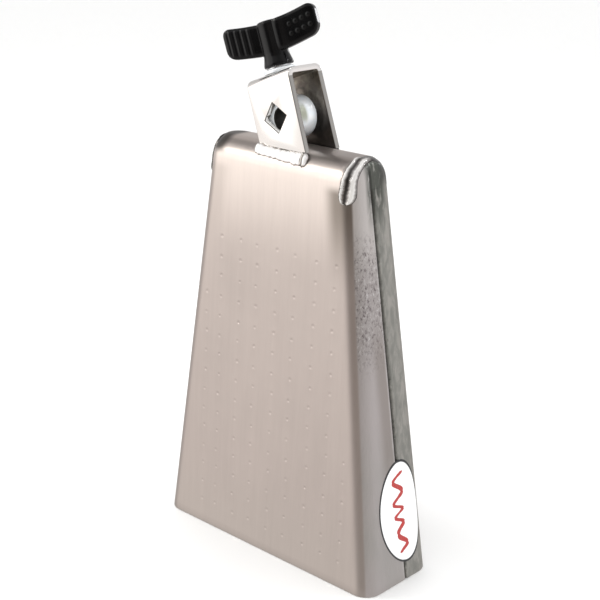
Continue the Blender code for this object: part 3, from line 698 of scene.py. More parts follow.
# ------------------------------------------------------------------ broad faces
PIT_COLUMNS = (-43.0, -33.5, -21.2, -10.0, 2.6, 14.2, 27.0, 39.0, 50.0)
PIT_SPREAD = 1.015                       # widens the columns above
PIT_ROWS, PIT_FIRST_Z, PIT_PITCH = 15, 13.2, 10.15
# radius, depth and point count of each ring of a pit; negative depth is a raised lip
PIT_PROFILE = ((2.1, 0.0, 16), (1.55, -0.014, 16), (1.05, -0.008, 16),
               (0.70, 0.058, 12), (0.38, 0.12, 12))
PIT_DEPTH = 0.145
FACE_GRID = 4.2                          # spacing of the points between pits


def pit_centres():
    """x, z, size factor and depth factor of the punched pits, placed a little unevenly."""
    rnd = random.Random(11)
    pits = []
    for column in PIT_COLUMNS:
        for row in range(PIT_ROWS):
            z = PIT_FIRST_Z + PIT_PITCH * row + rnd.uniform(-0.5, 0.5)
            x = column * PIT_SPREAD + rnd.uniform(-0.45, 0.45)
            width, _, corner = bell_size(z)
            if abs(x) < width - corner - 2.5:
                size, depth = rnd.uniform(0.78, 1.0), rnd.uniform(0.7, 1.1)
                pits.append((x * SCALE, z * SCALE, size, depth))
    return pits


def face_dent(x, z, side):
    """Slow unevenness of the sheet along the face's normal, fading out at its edges."""
    width = half_width(z) - CORNER_R
    fade = (max(0.0, min(1.0, (width - abs(x)) / 8)) * max(0.0, min(1.0, z / 6))
            * max(0.0, min(1.0, (FOLD_Z - z) / 8)))
    return fade * (0.10 * wobble(x * 0.035, side * 5 + 1.3, z * 0.022)
                   + 0.035 * wobble(x * 0.11, side * 9.0, z * 0.06))


def broad_face(side, rows):
    """Triangulated flat of one broad face with its pits; side is -1 at the front."""
    def edge(z):
        width, _, corner = bell_size(z)
        return width - corner

    bottom, top = rows[0], rows[-1]
    spots = [(x, bottom) for x in steps(-edge(bottom), edge(bottom), FLAT)]
    spots += [(edge(z), z) for z in rows[1:]]
    spots += [(x, top) for x in steps(edge(top), -edge(top), FLAT)[1:]]
    spots += [(-edge(z), z) for z in reversed(rows[1:-1])]
    border = len(spots)
    depths = {}
    pits = pit_centres()
    for pit_x, pit_z, size, deep in pits:
        for k, (radius, depth, count) in enumerate(PIT_PROFILE):
            for j in range(count):
                angle = 2 * math.pi * (j + 0.5 * (k % 2)) / count
                depths[len(spots)] = depth * deep
                spots.append((pit_x + radius * size * math.cos(angle),
                              pit_z + radius * size * math.sin(angle)))
        depths[len(spots)] = PIT_DEPTH * deep
        spots.append((pit_x, pit_z))
    for z in steps(bottom, top, int((top - bottom) / FACE_GRID))[1:-1]:
        reach = edge(z) - 2.0
        for x in steps(-reach, reach, max(2, int(2 * reach / FACE_GRID))):
            if all((x - pit_x) ** 2 + (z - pit_z) ** 2 > (2.7 * size) ** 2
                   for pit_x, pit_z, size, _ in pits):
                spots.append((x, z))
    vertices, _, triangles, origins, _, _ = delaunay_2d_cdt(
        [Vector(spot) for spot in spots], [], [list(range(border))], 1, 1e-7)
    points = []
    for (x, z), origin in zip(vertices, origins):
        source = origin[0] if origin else -1
        dent = 0.0 if 0 <= source < border else face_dent(x, z, side)
        y = bell_size(z)[1] - depths.get(source, 0.0) + dent
        points.append((x, side * y, z))
    faces = []
    for triangle in triangles:
        first, second, third = (points[i] for i in triangle[:3])
        area = ((second[0] - first[0]) * (third[2] - first[2])
                - (second[2] - first[2]) * (third[0] - first[0]))
        # anticlockwise as seen from outside
        faces.append(oriented(triangle, area * side >= 0))
    return points, faces


# ------------------------------------------------------------------ bell shell
def build_shell(material):
    walls = steps(0.45, SEAM_TOP, 46) + [FOLD_Z]
    fold = [math.sin(math.radians(angle)) for angle in steps(0, 90, 16)[1:]]
    # (z, inset) from the inner top down, round the rim and up to the outer top
    rows = [(FOLD_Z + (FOLD_R - WALL) * rise, WALL) for rise in reversed(fold)]
    rows += [(z, WALL) for z in reversed(walls)]
    rows += [(0.16, WALL - 0.12), (0.0, WALL - 0.42), (0.0, 0.42), (0.16, 0.12)]
    rows += [(z, 0.0) for z in walls]
    rows += [(FOLD_Z + FOLD_R * rise, 0.0) for rise in fold]
    inner_rim = len(fold) + len(walls) - 1
    outer_rim = inner_rim + 5
    outer_top = outer_rim + len(walls) - 1
    slot_bands = len(walls) - 2
    points = [(x, y, z) for z, inset in rows for x, y in bell_outline(z, inset)]
    faces = []
    for i in range(len(rows) - 1):
        slotted = max(rows[i][0], rows[i + 1][0]) <= SEAM_TOP + 1e-6
        outer_wall = outer_rim <= i < outer_top
        for j in range(COLUMNS):
            if (slotted and j in GAPS) or (outer_wall and j in BROAD):
                continue
            k = (j + 1) % COLUMNS
            row, above = i * COLUMNS, (i + 1) * COLUMNS
            faces.append((row + j, row + k, above + k, above + j))
    # walls of the seam slots, then their top ends
    for j in GAPS:
        k = (j + 1) % COLUMNS
        for column, flip in ((j, False), (k, True)):
            for band in range(slot_bands):
                outer = (outer_rim + band) * COLUMNS + column
                inner = (inner_rim - band) * COLUMNS + column
                faces.append(oriented((outer, outer + COLUMNS, inner - COLUMNS, inner), flip))
            rim = [(inner_rim + i) * COLUMNS + column for i in range(6)]
            faces.append(oriented(rim, flip))
        outer = (outer_rim + slot_bands) * COLUMNS
        inner = (inner_rim - slot_bands) * COLUMNS
        faces.append((outer + j, outer + k, inner + k, inner + j))
    # crown top and its underside: front flat joined to back flat, then the two ends
    for base, under in (((len(rows) - 1) * COLUMNS, False), (0, True)):
        front, back = base + FRONT_FIRST, base + BACK_FIRST + FLAT
        for i in range(FLAT):
            face = (front + i, front + i + 1, back - 1 - i, back - i)
            faces.append(oriented(face, under))
        for start in (FRONT_FIRST + FLAT, BACK_FIRST + FLAT):
            loop = [base + (start + i) % COLUMNS for i in range(HALF_TURN - FLAT + 1)]
            faces.append(oriented(loop, under))
    for side in (-1, 1):
        face_points, triangles = broad_face(side, walls)
        first = len(points)
        points += face_points
        faces += [tuple(i + first for i in triangle) for triangle in triangles]
    obj = make("bell_shell_visual", (points, faces), material)
    with editing(obj) as mesh:
        bmesh.ops.remove_doubles(mesh, verts=mesh.verts, dist=2e-6)
        bmesh.ops.recalc_face_normals(mesh, faces=mesh.faces)
    shade(obj, sharp=40)
    return obj


# ------------------------------------------------------------------ beads on the bell
def inside_bell(x, y, z):
    if z > HEIGHT:
        return False
    width, depth, corner = bell_size(z)
    x, y = abs(x), abs(y)
    if x > width or y > depth:
        return False
    if x > width - corner and y > depth - corner:
        return math.hypot(x - (width - corner), y - (depth - corner)) <= corner
    return True


def surface_point(origin, direction):
    """Where a ray from inside the bell leaves it, by bisection."""
    near, far = 0.0, 40.0
    for _ in range(30):
        middle = (near + far) / 2
        if inside_bell(*(o + d * middle for o, d in zip(origin, direction))):
            near = middle
        else:
            far = middle
    return Vector([o + d * near for o, d in zip(origin, direction)])


def crown_bead(name, side, material, seed):
    """Two runs of weld side by side over the end of the crown, nearly flush at the back."""
    along, across = 150, 41
    spine_x = 36.0 * SCALE               # rays start on this line inside the crown
    z_front, z_back = 184.0 * SCALE, 189.5 * SCALE
    up_front, over_top = FOLD_Z - z_front, FOLD_R * math.pi
    total = up_front + over_top + (FOLD_Z - z_back)
    # degrees from the Y-Z plane to both edges of the bead: (at its front end, further on)
    low_edge, high_edge = (((5.5, 17.0), (43.0, 46.0)) if side > 0
                           else ((42.0, 43.5), (61.0, 64.5)))
    # how much painted highlight the ridges get; the left bead gets little
    ridge_highlight = 1.0 if side > 0 else 0.12

    def hit(swing, tilt, lift=0.0):
        direction = (math.sin(swing), -math.cos(swing) * math.cos(tilt),
                     math.cos(swing) * math.sin(tilt))
        return surface_point((spine_x, 0.0, z + lift), direction)

    rings = []
    for i in range(along + 1):
        distance = i / along * total
        # height of the ray's origin and its tilt: 0 to the front, pi to the back
        if distance < up_front:
            z, tilt = z_front + distance, 0.0
        elif distance < up_front + over_top:
            z, tilt = FOLD_Z, (distance - up_front) / FOLD_R
        else:
            z, tilt = FOLD_Z - (distance - up_front - over_top), math.pi
        blunt = round_end(distance, 5.0) * round_end(total - distance, 3.0)
        spread = max(0.0, 1 - distance / 17.0) ** 1.3
        low, high = (math.radians(later + (start - later) * spread)
                     for start, later in (low_edge, high_edge))
        centre = ((low + high) / 2 + math.radians(1.3) * wobble(distance * 0.13, seed, 0.3)
                  + math.radians(1.5) * (1 - blunt))
        half = (high - low) / 2 * (0.14 + 0.86 * blunt)
        rear = smooth((tilt - math.radians(55)) / math.radians(60))
        under, over = [], []
        for part in steps(-1, 1, across - 1):
            swing = centre + half * part
            here = hit(swing, tilt)
            if tilt in (0.0, math.pi):
                run = hit(swing, tilt, 0.4) - hit(swing, tilt, -0.4)
                run = -run if tilt else run
            else:
                run = hit(swing, tilt + 0.03) - hit(swing, tilt - 0.03)
            cross = hit(swing + 0.02, tilt) - hit(swing - 0.02, tilt)
            normal = cross.cross(run).normalized()
            if normal.dot(here - Vector((spine_x, 0.0, z))) < 0:
                normal = -normal
            # a narrow run on the face side, a rounder one on the end, a hollow between
            wander = (0.10 * wobble(distance * 0.22, 2.0, seed)
                      + 0.10 * wobble(distance * 0.8, 6.0, seed))
            narrow = (hump(part + 0.66 - wander, 0.21)
                      * (1 - 0.9 * smooth((tilt - math.radians(62)) / math.radians(40))))
            rounder = (hump(part - 0.46 - wander, 0.33)
                       * (1 - 0.9 * smooth((tilt - math.radians(74)) / math.radians(34))))
            ripple = (1 + 0.14 * wobble(distance * 0.55, part * 1.5, seed)
                      + 0.07 * math.sin(distance * 1.15 + 1.5 * part + seed))
            shape = max(narrow * 0.9, rounder)
            skirt = min(1.0, (1 - abs(part)) / 0.14)
            lift = ((0.22 + 0.78 * shape) * ripple * (0.35 + 0.65 * blunt)
                    * (1 - 0.80 * rear) * skirt)
            tone = shape * skirt * (0.55 + 0.45 * blunt) * (1 - rear)
            tone = max(0.0, min(1.0, tone)) * ridge_highlight
            over.append((*(here + normal * (lift + 0.015)), tone))
            under.append((*(here - normal * 0.25), 0.0))
        rings.append([(side * x, y, z, tone) for x, y, z, tone in under + over[::-1]])
    return make_bead(name, rings, material, flip=side > 0)


def seam_bead(name, side, material, seed):
    """Weld metal between the flanges: a deep crease along its front edge, rough behind it."""
    along, across = 340, 18
    rings = []
    for z in steps(0.35, SEAM_TOP - 0.12, along):
        front, rear = seam_edges(z)
        front += 0.02
        x = half_width(z)
        crease_w = (1.95 + 0.55 * wobble(z * 0.16, seed, 2.0)
                    + 0.40 * wobble(z * 0.55, seed, 5.0) - 0.5 * smooth((60 - z) / 40))
        ring = []
        for j in range(across + 1):
            part = (j / across) ** 1.35
            y = front + (rear - front) * part
            crease = 1 - smooth(((y - front) / crease_w - 0.45) / 0.75)
            crown = 0.10 * math.sin(math.pi * part) * (1 - crease)
            rough = (0.10 * wobble(y * 1.3, seed, z * 0.30)
                     + 0.05 * wobble(y * 3.1, seed + 4, z * 1.2)) * (1 - crease)
            flush = smooth((part - 0.55) / 0.40)
            lift = (-0.06 - 0.85 * crease + crown + rough) * (1 - flush)
            ring.append((side * (x + lift), y, z, 1 - crease, smooth((part - 0.40) / 0.45)))
        inner = side * (x - WALL + 0.1)
        ring += [(inner, rear, z, 0.0, 0.0), (inner, front, z, 0.0, 0.0)]
        rings.append(ring)
    return make_bead(name, rings, material, flip=side < 0, sharp=60,
                     attributes=("tone", "blend"))


def foot_bead(name, side, material, seed):
    """Uneven fillet along the foot of one bracket plate; side is -1 at the front."""
    count = 150
    left, right = -16.0 * SCALE, (17.4 if side < 0 else 15.4) * SCALE
    face_y = 11.0 * SCALE if side < 0 else 12.05 * SCALE
    fold_y = half_depth(FOLD_Z) - FOLD_R
    fold_r = FOLD_R - 0.12               # sunk slightly into the fold
    y_in = face_y - 0.15                 # and into the plate
    rings = []
    for i in range(count + 1):
        part = i / count
        x = left + (right - left) * part
        blunt = round_end(min(part, 1 - part) * (right - left), 2.6)
        lump = 0.30 * wobble(x * 0.30, seed, 0.0) + 0.16 * wobble(x * 0.8, seed + 3, 0.0)
        dip = 0.0
        if x > 12.0:                     # a dark dip and a lump near the right end
            dip = hump(x - 14.7, 1.15)
            lump += 0.35 * hump(x - 16.6, 0.9) - 0.60 * dip
        bottom = (196.5 + 1.5 * (1 - part) + 0.80 * wobble(x * 0.34, seed + 7, 1.0)
                  + 0.35 * wobble(x * 1.1, seed + 2, 3.0) + (1 - blunt) * 2.4)
        top = (203.3 - 1.0 * math.sin(math.pi * part) - (1 - blunt) * 2.4
               + 0.45 * wobble(x * 0.45, seed + 9, 2.0)
               + 0.25 * wobble(x * 1.2, seed + 4, 5.0))
        start = math.asin(max(-1.0, min(1.0, (bottom - FOLD_Z) / fold_r)))
        stop = math.acos(max(-1.0, min(1.0, (y_in - fold_y) / fold_r)))
        inner = [(fold_y + fold_r * math.cos(angle), FOLD_Z + fold_r * math.sin(angle), 0.0)
                 for angle in steps(start, stop, 8)]
        y_low, z_low, _ = inner[0]
        notch = 0.5 + 0.5 * wobble(x * 0.7, 5.0, seed)
        toe = 0.15 + 0.10 * wobble(x * 0.9, seed + 6, 8.0)
        outer = []
        for k in range(1, 20):
            rise = k / 20
            bulge = (1.28 + lump) * (0.25 + 0.75 * blunt) * math.sin(math.pi * rise) ** 0.62
            bulge = max(0.05, bulge - 0.10 * hump(rise - 0.80, 0.07) * notch)
            y = y_low + (y_in - y_low) * rise + bulge * 0.93
            z = z_low + (top - z_low) * rise + bulge * 0.30
            # tone: painted shade at the toe, in the dip and in the notch below the top
            tone = min(1.0, (rise / toe) ** 1.5) * (1 - 0.97 * dip)
            tone *= 1 - (0.35 + 0.60 * notch) * hump(rise - 0.93, 0.06)
            outer.append((y, z, max(0.0, tone * (0.4 + 0.6 * blunt))))
        ring = inner + [(y_in, top, 0.0)] + outer[::-1]
        rings.append([(x, side * y, z, tone) for y, z, tone in ring])
    return make_bead(name, rings, material, flip=side > 0)


# ------------------------------------------------------------------ bracket
def build_bracket(material):
    """Inverted U of strap: two plates and a sloping web, with diamond and bolt holes."""
    front, back, back_foot = 11.0, 11.4, 12.3    # outer faces from the hole axis
    thick, top, foot, width = 2.9, 20.0, -26.0, 28.0
    bend = 3.8                                   # outer bend radius
    bend_front, bend_back, bend_z = bend - front, back - bend, top - bend
    outline = [(-front, foot)]
    outline += arc(bend_front, bend_z, bend, 180, 90, 12)
    outline += arc(bend_back, bend_z, bend, 90, 0, 12)
    outline += [(back_foot, foot), (back_foot - thick, foot)]
    outline += arc(bend_back, bend_z, bend - thick, 0, 90, 8)
    outline += arc(bend_front, bend_z, bend - thick, 90, 180, 8)
    outline.append((thick - front, foot))
    rings = [[strap_point(side, y, along + (side * WEB_SLOPE if along > 0 else 0.0))
              for y, along in outline] for side in (-width / 2, width / 2)]
    obj = make("mount_bracket_visual", loft(rings), material, sharp=30)

    reach = DIAMOND_REACH
    diamond = [(reach, 0.0), (0.0, reach), (-reach, 0.0), (0.0, -reach)]
    cutters = [
        make("diamond", loft([[strap_point(side, y, along) for side, along in diamond]
                              for y in (20.0, -20.0)])),
        make("bolt_hole", loft([circle(bolt_point, 3.8, along, 48) for along in (12.0, 30.0)])),
    ]
    # trim the plates' feet level: y range and cutting height
    for y_from, y_to, z in ((-40, 0, 202.3 * SCALE), (0, 40, 201.8 * SCALE)):
        corners = ((-60, y_from), (60, y_from), (60, y_to), (-60, y_to))
        cutters.append(make("foot", loft([[(x, y, level) for x, y in corners]
                                          for level in (150, z)])))
    combine(obj, "DIFFERENCE", *cutters)
    with editing(obj) as mesh:
        bmesh.ops.dissolve_limit(mesh, angle_limit=math.radians(1.0), verts=mesh.verts,
                                 edges=mesh.edges)
        edges = [edge for edge in mesh.edges
                 if len(edge.link_faces) == 2 and edge.calc_face_angle(0) > math.radians(35)]
        bmesh.ops.bevel(mesh, geom=edges, offset=0.00042, offset_type="OFFSET", segments=3,
                        profile=0.5, affect="EDGES", clamp_overlap=True)
        bmesh.ops.triangulate(mesh, faces=[face for face in mesh.faces if len(face.verts) > 4])
    shade(obj, sharp=32)
    mark_bracket(obj)
    return obj


def mark_bracket(obj):
    """Face masks: inside of the U, side edges of the plates, diamond walls and their lips."""
    marks = {"inside": [], "edge": [], "hole": [], "lip": []}
    for face in obj.data.polygons:
        spot = face.center / MM - HOLE
        normal = face.normal
        side, y, along = spot.dot(STRAP_SIDE), spot.y, spot.dot(STRAP_AXIS)
        near = abs(side) + abs(along) < DIAMOND_REACH + 0.35
        inward = ((y < 0 and normal.y > 0.5) or (y > 0 and normal.y < -0.5)
                  or normal.dot(STRAP_AXIS) < -0.5)
        marks["inside"].append(inward and abs(y) < 9.6 and along < 17.4 + side * WEB_SLOPE)
        marks["edge"].append(abs(normal.dot(STRAP_SIDE)) > 0.6 and along < 15.2
                             and abs(side) > 12)
        marks["hole"].append(near and abs(normal.y) < 0.25)
        marks["lip"].append(near and 0.25 <= abs(normal.y) < 0.97)
    for name, values in marks.items():
        set_attribute(obj, name, [float(value) for value in values], "FACE")


# ------------------------------------------------------------------ eye bolt, washer, insert
def thread_rod(radius, depth, start, stop):
    """Closed threaded rod along the bolt, narrowing over its last millimetre."""
    count, rings_per_turn = 48, 10
    rings = []
    for along in steps(start, stop, int((stop - start) / THREAD_PITCH * rings_per_turn)):
        end = min(1.0, stop - along)
        limit = radius - depth * 1.3 * (1 - end)

        def radius_at(i):
            crest = min(1.0, max(0.0, (thread_height(i, count, along) - 0.10) / 0.78))
            return min(radius - depth * (1 - crest), limit)

        rings.append(circle(bolt_point, radius_at, along, count))
    return loft(rings)


def build_eye_bolt(material):
    low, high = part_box("eye_bolt")
    half = (high.y - low.y) / MM / 2 - 0.25      # half the eye's thickness
    outer, bore, lowered = 10.05, 5.4, 1.0       # lowered: eye centre below the hole centre
    count = 112
    # (radius, y): rounded bore edges, flat cheeks and a crowned rim
    profile = arc(bore + 0.9, -half + 0.9, 0.9, 180, 270, 7)
    profile += arc(outer - 1.05, -half + 0.9, 0.9, 270, 350, 7)
    profile += [(outer - 0.14 * t * t, t * (half - 1.2)) for t in steps(-1, 1, 10)[1:-1]]
    profile += arc(outer - 1.05, half - 0.9, 0.9, 10, 90, 7)
    profile += arc(bore + 0.9, half - 0.9, 0.9, 90, 180, 7)
    profile += [(bore, t * (half - 0.9)) for t in steps(1, -1, 6)[1:-1]]
    rings = [[bolt_point(radius * sine, y, radius * cosine - lowered)
              for cosine, sine in unit_circle(count)] for radius, y in profile]
    obj = make("eye_bolt_visual", loft(rings, closed=True), material)
    # (radius, place along the bolt) of the neck above the eye
    neck = ((3.15, 8.2), (4.9, 8.9), (4.1, 9.6), (3.45, 10.1), (3.15, 10.7), (3.12, 11.2))
    combine(obj, "UNION",
            make("neck", loft([circle(bolt_point, *station, 48) for station in neck]), material),
            make("rod", thread_rod(radius=3.1, depth=0.42, start=10.9, stop=34.2), material))
    shade(obj, sharp=48)
    # masks: part of the rim facing +X for the painted reflection, inside of the eye for the
    # painted shade, flat cheeks
    eye = HOLE - BOLT_AXIS * lowered
    marks = {"cheek": [], "bore": [], "flat": []}
    for vertex in obj.data.vertices:
        spot = vertex.co / MM - eye
        side, along = spot.dot(BOLT_SIDE), spot.dot(BOLT_AXIS)
        radius = math.hypot(side, along)
        turn = math.degrees(math.atan2(along, side))
        olive = math.exp(-((turn - 2) / 26) ** 4) * smooth((0.6 - spot.y) / 1.6)
        flat = abs(spot.y) > half - 0.3 and bore + 0.5 < radius < outer + 1
        marks["cheek"].append(olive if radius > outer - 0.8 else 0.0)
        marks["bore"].append(1.0 if radius < bore + 0.35 else 0.0)
        marks["flat"].append(1.0 if flat else 0.0)
    for name, values in marks.items():
        set_attribute(obj, name, values)
    return obj


def build_washer(material):
    bottom, top, inner, outer = 20.3, 21.9, 3.6, 7.6
    inner_r, outer_r = 0.2, 0.38                 # edge rounding
    profile = arc(inner + inner_r, bottom + inner_r, inner_r, 180, 270, 5)
    profile += arc(outer - outer_r, bottom + outer_r, outer_r, 270, 360, 5)
    profile += arc(outer - outer_r, top - outer_r, outer_r, 0, 90, 5)
    profile += arc(inner + inner_r, top - inner_r, inner_r, 90, 180, 5)
    rings = [circle(bolt_point, radius, along, 96) for radius, along in profile]
    return make("flat_washer_visual", loft(rings, closed=True), material, sharp=50)


def build_insert(material):
    """Turned insert: flange, knurled barrel and an internal thread."""
    bottom, flange_top, top = 22.2, 22.8, 35.0
    bore, barrel, flange = 3.42, 4.5, 6.0
    count, rings_per_turn = 96, 8

    def plain(*profile):
        return [circle(bolt_point, radius, along, count) for radius, along in profile]

    def knurled(i):
        return barrel - 0.12 * (i % 4 < 2)

    rings = plain((bore + 0.45, bottom), (flange - 0.15, bottom), (flange, bottom + 0.15),
                  (flange, flange_top - 0.1), (flange - 0.1, flange_top),
                  (barrel - 0.2, flange_top))
    rings += [circle(bolt_point, knurled, along, count)
              for along in (flange_top + 0.3, 26.0, 29.0, 32.0, top - 0.3)]
    rings += plain((barrel - 0.3, top), (bore + 0.3, top))
    threaded = top - bottom - 0.8
    levels = int(threaded / THREAD_PITCH * rings_per_turn)
    for k in range(levels + 1):
        along = top - 0.35 - threaded * k / levels
        rings.append(circle(
            bolt_point, lambda i: bore - 0.02 + 0.30 * thread_height(i, count, along),
            along, count))
    return make("wing_nut_insert_visual", loft(rings, closed=True), material, sharp=40)


# ------------------------------------------------------------------ wing nut
NUT_TURN = math.radians(24.0)
HALF_SPAN = 24.5
RIBS = (11.0, 14.1, 17.3, 20.4)          # places along each wing
RIB_R = 0.62
# (radius, place along the bolt)
HUB = ((6.6, 23.1), (7.0, 23.5), (6.98, 24.3), (6.6, 25.8), (6.15, 27.6), (5.95, 29.4),
       (5.9, 36.0), (5.9, 43.0), (5.6, 43.9), (4.9, 44.3))
NUT_BORE = ((4.8, 18.0), (4.8, 35.3), (3.7, 35.32), (3.7, 43.2))
PIP_DOME = ((0.95, -0.3), (0.95, 0.06), (0.72, 0.20), (0.35, 0.27))  # (radius, lift)


def nut_point(x, y, along):
    """Point in the wing nut's own frame: along the wings, across them, and up the bolt."""
    cosine, sine = math.cos(NUT_TURN), math.sin(NUT_TURN)
    return bolt_point(x * cosine - y * sine, x * sine + y * cosine, along)


def wing_size(x):
    """Sideways offset, half thickness, top and bottom of the wings at x."""
    top = 44.0 + 3.2 * (abs(x) / HALF_SPAN) ** 1.75
    bottom = 29.4 + 3.0 * max(0.0, (abs(x) - 6) / (HALF_SPAN - 6)) ** 1.2
    offset = 2.4 * (1 - 2 * smooth((x + 6.5) / 13))
    # each wing runs flush into the hub on its own side
    flush = 0.5 * (1 - smooth((abs(x) - 3.0) / 8.0))
    half = 2.5 + flush
    offset -= flush if x > 0 else -flush
    # rounded tips, seen from the side and then from above
    left = HALF_SPAN - abs(x)
    if left < 4.5:
        cut = 4.5 - math.sqrt(max(0.0, 4.5 ** 2 - (4.5 - left) ** 2))
        top -= cut
        bottom += cut
    end = 2.3 if x < 0 else 0.9
    if left < end:
        half -= end - math.sqrt(max(0.0, end ** 2 - (end - left) ** 2))
    return offset, half, top, bottom


def wing_ring(x):
    """Section of the wings: flat faces with soft edges."""
    offset, half, top, bottom = wing_size(x)
    height = top - bottom
    middle = (top + bottom) / 2
    power = 7.0
    ring = []
    for cosine, sine in unit_circle(36):
        swell = (abs(cosine) ** power + abs(sine) ** power) ** (-1 / power)
        ring.append(nut_point(x, offset + cosine * swell * half,
                              middle + sine * swell * height / 2))
    return ring


def rib(x, sign):
    """Upright rib on the outer face of a wing."""
    offset, half, top, bottom = wing_size(x)
    y = offset + sign * half - sign * 0.10
    profile = [(x + RIB_R * cosine, y + RIB_R * sine) for cosine, sine in unit_circle(12)]
    levels = ((bottom + 1.3, 0.55), (bottom + 1.7, 1.0), (top - 1.7, 1.0), (top - 1.3, 0.55))
    rings = [[nut_point(x + (rib_x - x) * grow, y + (rib_y - y) * grow, along)
              for rib_x, rib_y in profile] for along, grow in levels]
    return make("rib", loft(rings))


def pip(x, sign, shift):
    """Small dome on a wing's face, shifted up or down from its middle."""
    offset, half, top, bottom = wing_size(x)
    face = offset + sign * half
    middle = (top + bottom) / 2 + shift
    rings = [[nut_point(x + radius * cosine, face + sign * lift, middle + radius * sine)
              for cosine, sine in unit_circle(20)] for radius, lift in PIP_DOME]
    return make("pip", loft(rings))


def build_grip(material):
    stations = []
    x = -HALF_SPAN + 0.02
    while x < HALF_SPAN:
        stations.append(x)
        x += 0.14 if HALF_SPAN - abs(x) < 2.4 else 0.4
    stations.append(HALF_SPAN - 0.02)
    obj = make("wing_nut_grip_visual", loft([wing_ring(x) for x in stations]), material)
    parts = [make("hub", loft([circle(nut_point, *station, 72) for station in HUB]))]
    parts += [rib(sign * x, sign) for sign in (-1, 1) for x in RIBS]
    parts += [pip(-sign * (11.2 + 3.3 * column), sign, shift)
              for sign in (-1, 1) for shift in (-2.2, 2.2) for column in range(4)]
    for part in (*parts, obj):
        fix_normals(part)
    with editing(obj) as mesh:
        for part in parts:
            mesh.from_mesh(part.data)
    drop(*parts)
    # fuse into one soft-edged moulding
    remesh = obj.modifiers.new("fuse", "REMESH")
    remesh.mode = "VOXEL"
    remesh.voxel_size = 0.00026
    remesh.use_smooth_shade = True
    apply_modifiers(obj)
    with editing(obj) as mesh:
        for _ in range(5):
            bmesh.ops.smooth_vert(mesh, verts=mesh.verts, factor=0.5,
                                  use_axis_x=True, use_axis_y=True, use_axis_z=True)
    # blind bore for the insert and the bolt
    bore = make("bore", loft([circle(nut_point, *station, 72) for station in NUT_BORE]))
    fix_normals(bore)
    combine(obj, "DIFFERENCE", bore)
    shade(obj, sharp=50)
    return obj


# ------------------------------------------------------------------ label
def build_label():
    """Thin oval label wrapped over the right flange and its seam."""
    low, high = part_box("side_label")
    centre_y, half_w, thick = 2.8, 14.3, 0.16
    gap = 0.05                           # between the flange and the label
    ring_count, count = 16, 96
    centre_z = (low.z + high.z) / 2 / MM
    slope = math.atan((MOUTH_W - CROWN_W) / 2 / HEIGHT)
    up = Vector((-math.sin(slope), 0, math.cos(slope)))
    out = Vector((math.cos(slope), 0, math.sin(slope)))
    half_h = (high.z - low.z) / MM / 2 / math.cos(slope)
    centre = Vector((half_width(centre_z), centre_y, centre_z))
    material = label_material(centre=tuple(centre * MM), up=tuple(up),
                              half_w=half_w * MM, half_h=half_h * MM)

    def surface(across, height, lift):
        """Point on the flange, bent round its corners and sunk into the seam's crease."""
        spot = centre + Vector((0, across, 0)) + up * height
        _, depth, corner = bell_size(spot.z)
        over = max(0.0, abs(spot.y) - (depth - corner))
        reach = math.sqrt((corner + lift) ** 2 - over ** 2) - corner
        sink = 0.16 * hump(spot.y - seam_edges(spot.z)[0] - 0.6, 1.0)
        return Vector((half_width(spot.z) + (reach - sink) * out.x, spot.y,
                       spot.z + (lift - sink) * out.z))

    points, girth = [], []
    for lift in (gap, gap + thick):
        for i in range(1, ring_count + 1):
            part = i / ring_count
            edge = -0.05 if lift > gap and i == ring_count else 0.0
            for j in range(count):
                angle = 2 * math.pi * j / count
                rise = part * math.sin(angle)
                across = (half_w * part * math.cos(angle) + LABEL_BOW * rise ** 2
                          - LABEL_TILT * rise)
                points.append(surface(across, half_h * rise, lift + edge))
                girth.append(across * MM)
    faces = []
    sheet = ring_count * count           # points per side of the label
    for base, under in ((0, True), (sheet, False)):
        faces.append(oriented(range(base, base + count), under))
        for i in range(ring_count - 1):
            inner, outer = base + i * count, base + (i + 1) * count
            for j in range(count):
                k = (j + 1) % count
                faces.append(oriented((inner + j, outer + j, outer + k, inner + k), under))
    lower, upper = sheet - count, 2 * sheet - count
    for j in range(count):
        k = (j + 1) % count
        faces.append((lower + j, lower + k, upper + k, upper + j))
    obj = make("side_label_visual", (points, faces), material)
    set_attribute(obj, "girth", girth)
    fix_normals(obj)
    shade(obj, sharp=50)
    return obj


# ------------------------------------------------------------------ build the pieces
steel = steel_material()
seam = seam_material()
bead = bead_material("weld_bead", dark=(0.30, 0.28, 0.27), light=(0.74, 0.72, 0.70),
                     roughness=0.24, sooted=True)
foot_weld = bead_material("bracket_weld", dark=(0.50, 0.47, 0.44), light=(0.90, 0.88, 0.86),
                          roughness=0.16)
chrome = chrome_material()
zinc = zinc_material()
plastic = plastic_material()
brass = insert_material()

place(build_shell(steel), "bell", "brushed_steel")
place(seam_bead("seam_weld_right_visual", 1, seam, seed=2.0), "bell", "seam_metal")
place(seam_bead("seam_weld_left_visual", -1, seam, seed=9.0), "bell", "seam_metal")
place(crown_bead("crown_weld_right_visual", 1, bead, seed=1.0), "bell", "weld_bead")
place(crown_bead("crown_weld_left_visual", -1, bead, seed=6.0), "bell", "weld_bead")
place(build_bracket(chrome), "bell", "bracket_chrome")
place(foot_bead("bracket_weld_front_visual", -1, foot_weld, seed=3.0), "bell", "bracket_weld")
place(foot_bead("bracket_weld_back_visual", 1, foot_weld, seed=8.0), "bell", "bracket_weld")
place(build_label(), "bell", "label_vinyl")
place(build_eye_bolt(zinc), "eye_bolt", "bolt_zinc")
place(build_washer(zinc), "washer", "bolt_zinc")
place(build_insert(brass), "wing_nut", "insert_brass")
place(build_grip(plastic), "wing_nut", "black_plastic")


